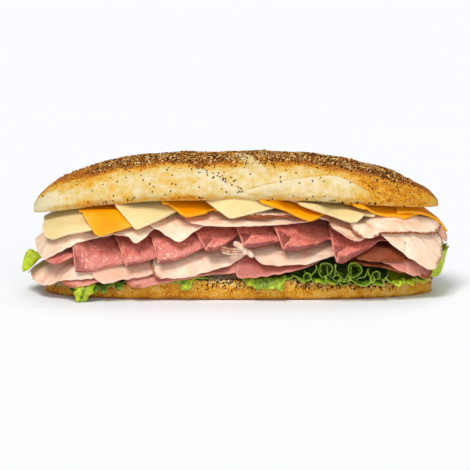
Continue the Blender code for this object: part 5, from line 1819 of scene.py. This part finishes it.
def main():
    draw = np.random.default_rng(7)
    crust, crumb = crust_finish(), crumb_finish()
    cheddar = cheese_finish("cheddar", tone(248, 166, 0), tone(242, 150, 0), tone(252, 190, 50))
    white = cheese_finish("white_cheese", tone(227, 206, 152), tone(222, 197, 136), tone(240, 226, 186))
    turkey = meat_finish(
        "turkey", tone(242, 204, 174), tone(248, 226, 206), tone(230, 168, 134), tone(168, 92, 38), 1.7, 0.3
    )
    turkey_lower = meat_finish(
        "turkey_lower", tone(236, 192, 164), tone(246, 220, 200), tone(216, 150, 120), tone(172, 98, 42), 1.7, 0.3
    )
    ham = meat_finish(
        "ham", tone(198, 118, 104), tone(224, 158, 140), tone(172, 86, 74), tone(186, 104, 34), 2.4, 0.35
    )
    # darker, browner meat colours for ham_4 and turkey_lower_5: painted shade for slices lying in shadow, on meat with
    # browned edges
    shaded_brown_meat = meat_finish(
        "shaded_brown_meat", tone(168, 96, 70), tone(204, 140, 106), tone(134, 64, 38), tone(150, 78, 30), 2.2, 0.3
    )
    salami = salami_finish()
    lettuce = lettuce_finish()
    top = build_top(crust, crumb)
    base = build_base(crust, crumb)
    pile = Pile()
    for name, leaf in THROUGH_LEAVES.items():
        through_leaf(name + "_leaf", leaf, lettuce, (name,))
        tallest = max(tall for _, tall in leaf.tall)
        raise_over_leaf(pile, leaf.level + min(tallest, MOST_RAISE), leaf.start, leaf.stop)
    through_leaf("lettuce_ruffle", INNER_RUFFLE, lettuce, ())
    end_leaf(lettuce)
    raise_over_leaf(pile, 17.4 + MOST_RAISE, BED_SPINE_HALF, 152.0)
    hanging_curl(lettuce)
    lettuce_curls(lettuce)
    turkey_shreds(turkey_lower)
    soft = {"thickness": 1.2, "boxy": 1.0, "corner": 1.3, "ragged": 0.28, "wrinkle": 0.55, "wave": 16.0}
    ham_kind = {**soft, "step": 2.6, "reach": REACH["ham"], "finish": lambda n: (shaded_brown_meat if n == "ham_4" else ham, "ham")}
    lower_kind = {**soft, "step": 2.6, "reach": REACH["turkey_lower"], "finish": lambda n: (shaded_brown_meat if n == "turkey_lower_5" else turkey_lower, "turkey")}
    upper_kind = {**soft, "step": 2.4, "reach": REACH["turkey_upper"], "finish": lambda n: (turkey, "turkey")}
    cheese_kind = {
        "thickness": 2.0, "boxy": 0.3, "corner": 0.5, "ragged": 0.05, "wrinkle": 0.0, "wave": 30.0, "step": 2.75,
        "reach": REACH["cheese"],
        "finish": lambda n: (cheddar, "cheddar") if n.startswith("cheddar") else (white, "white_cheese"),
    }
    lay_slices(pile, HAM_SLICES, HAM_LEVELS, ham_kind, draw)
    lay_slices(pile, TURKEY_LOWER_SLICES, TURKEY_LOWER_LEVELS, lower_kind, draw)
    tip_leaf(pile, lettuce)
    lay_salami(pile, salami, draw)
    lay_slices(pile, TURKEY_UPPER_SLICES, TURKEY_UPPER_LEVELS, upper_kind, draw)
    lay_slices(pile, CHEESE_SLICES, CHEESE_LEVELS, cheese_kind, draw)
    finishes = {
        "poppy": grain_finish("poppy", tone(6, 3, 2), tone(46, 22, 8), 0.5, 0.85),
        "sesame": grain_finish("sesame", tone(186, 122, 48), tone(240, 206, 136), 1.2),
        "onion": grain_finish("onion", tone(150, 82, 20), tone(240, 206, 138), 1.2),
        "toast": grain_finish("toast", tone(92, 42, 8), tone(212, 142, 50), 0.8, 0.7),
    }
    sprinkle(top, base, finishes)
    set_stage()


main()
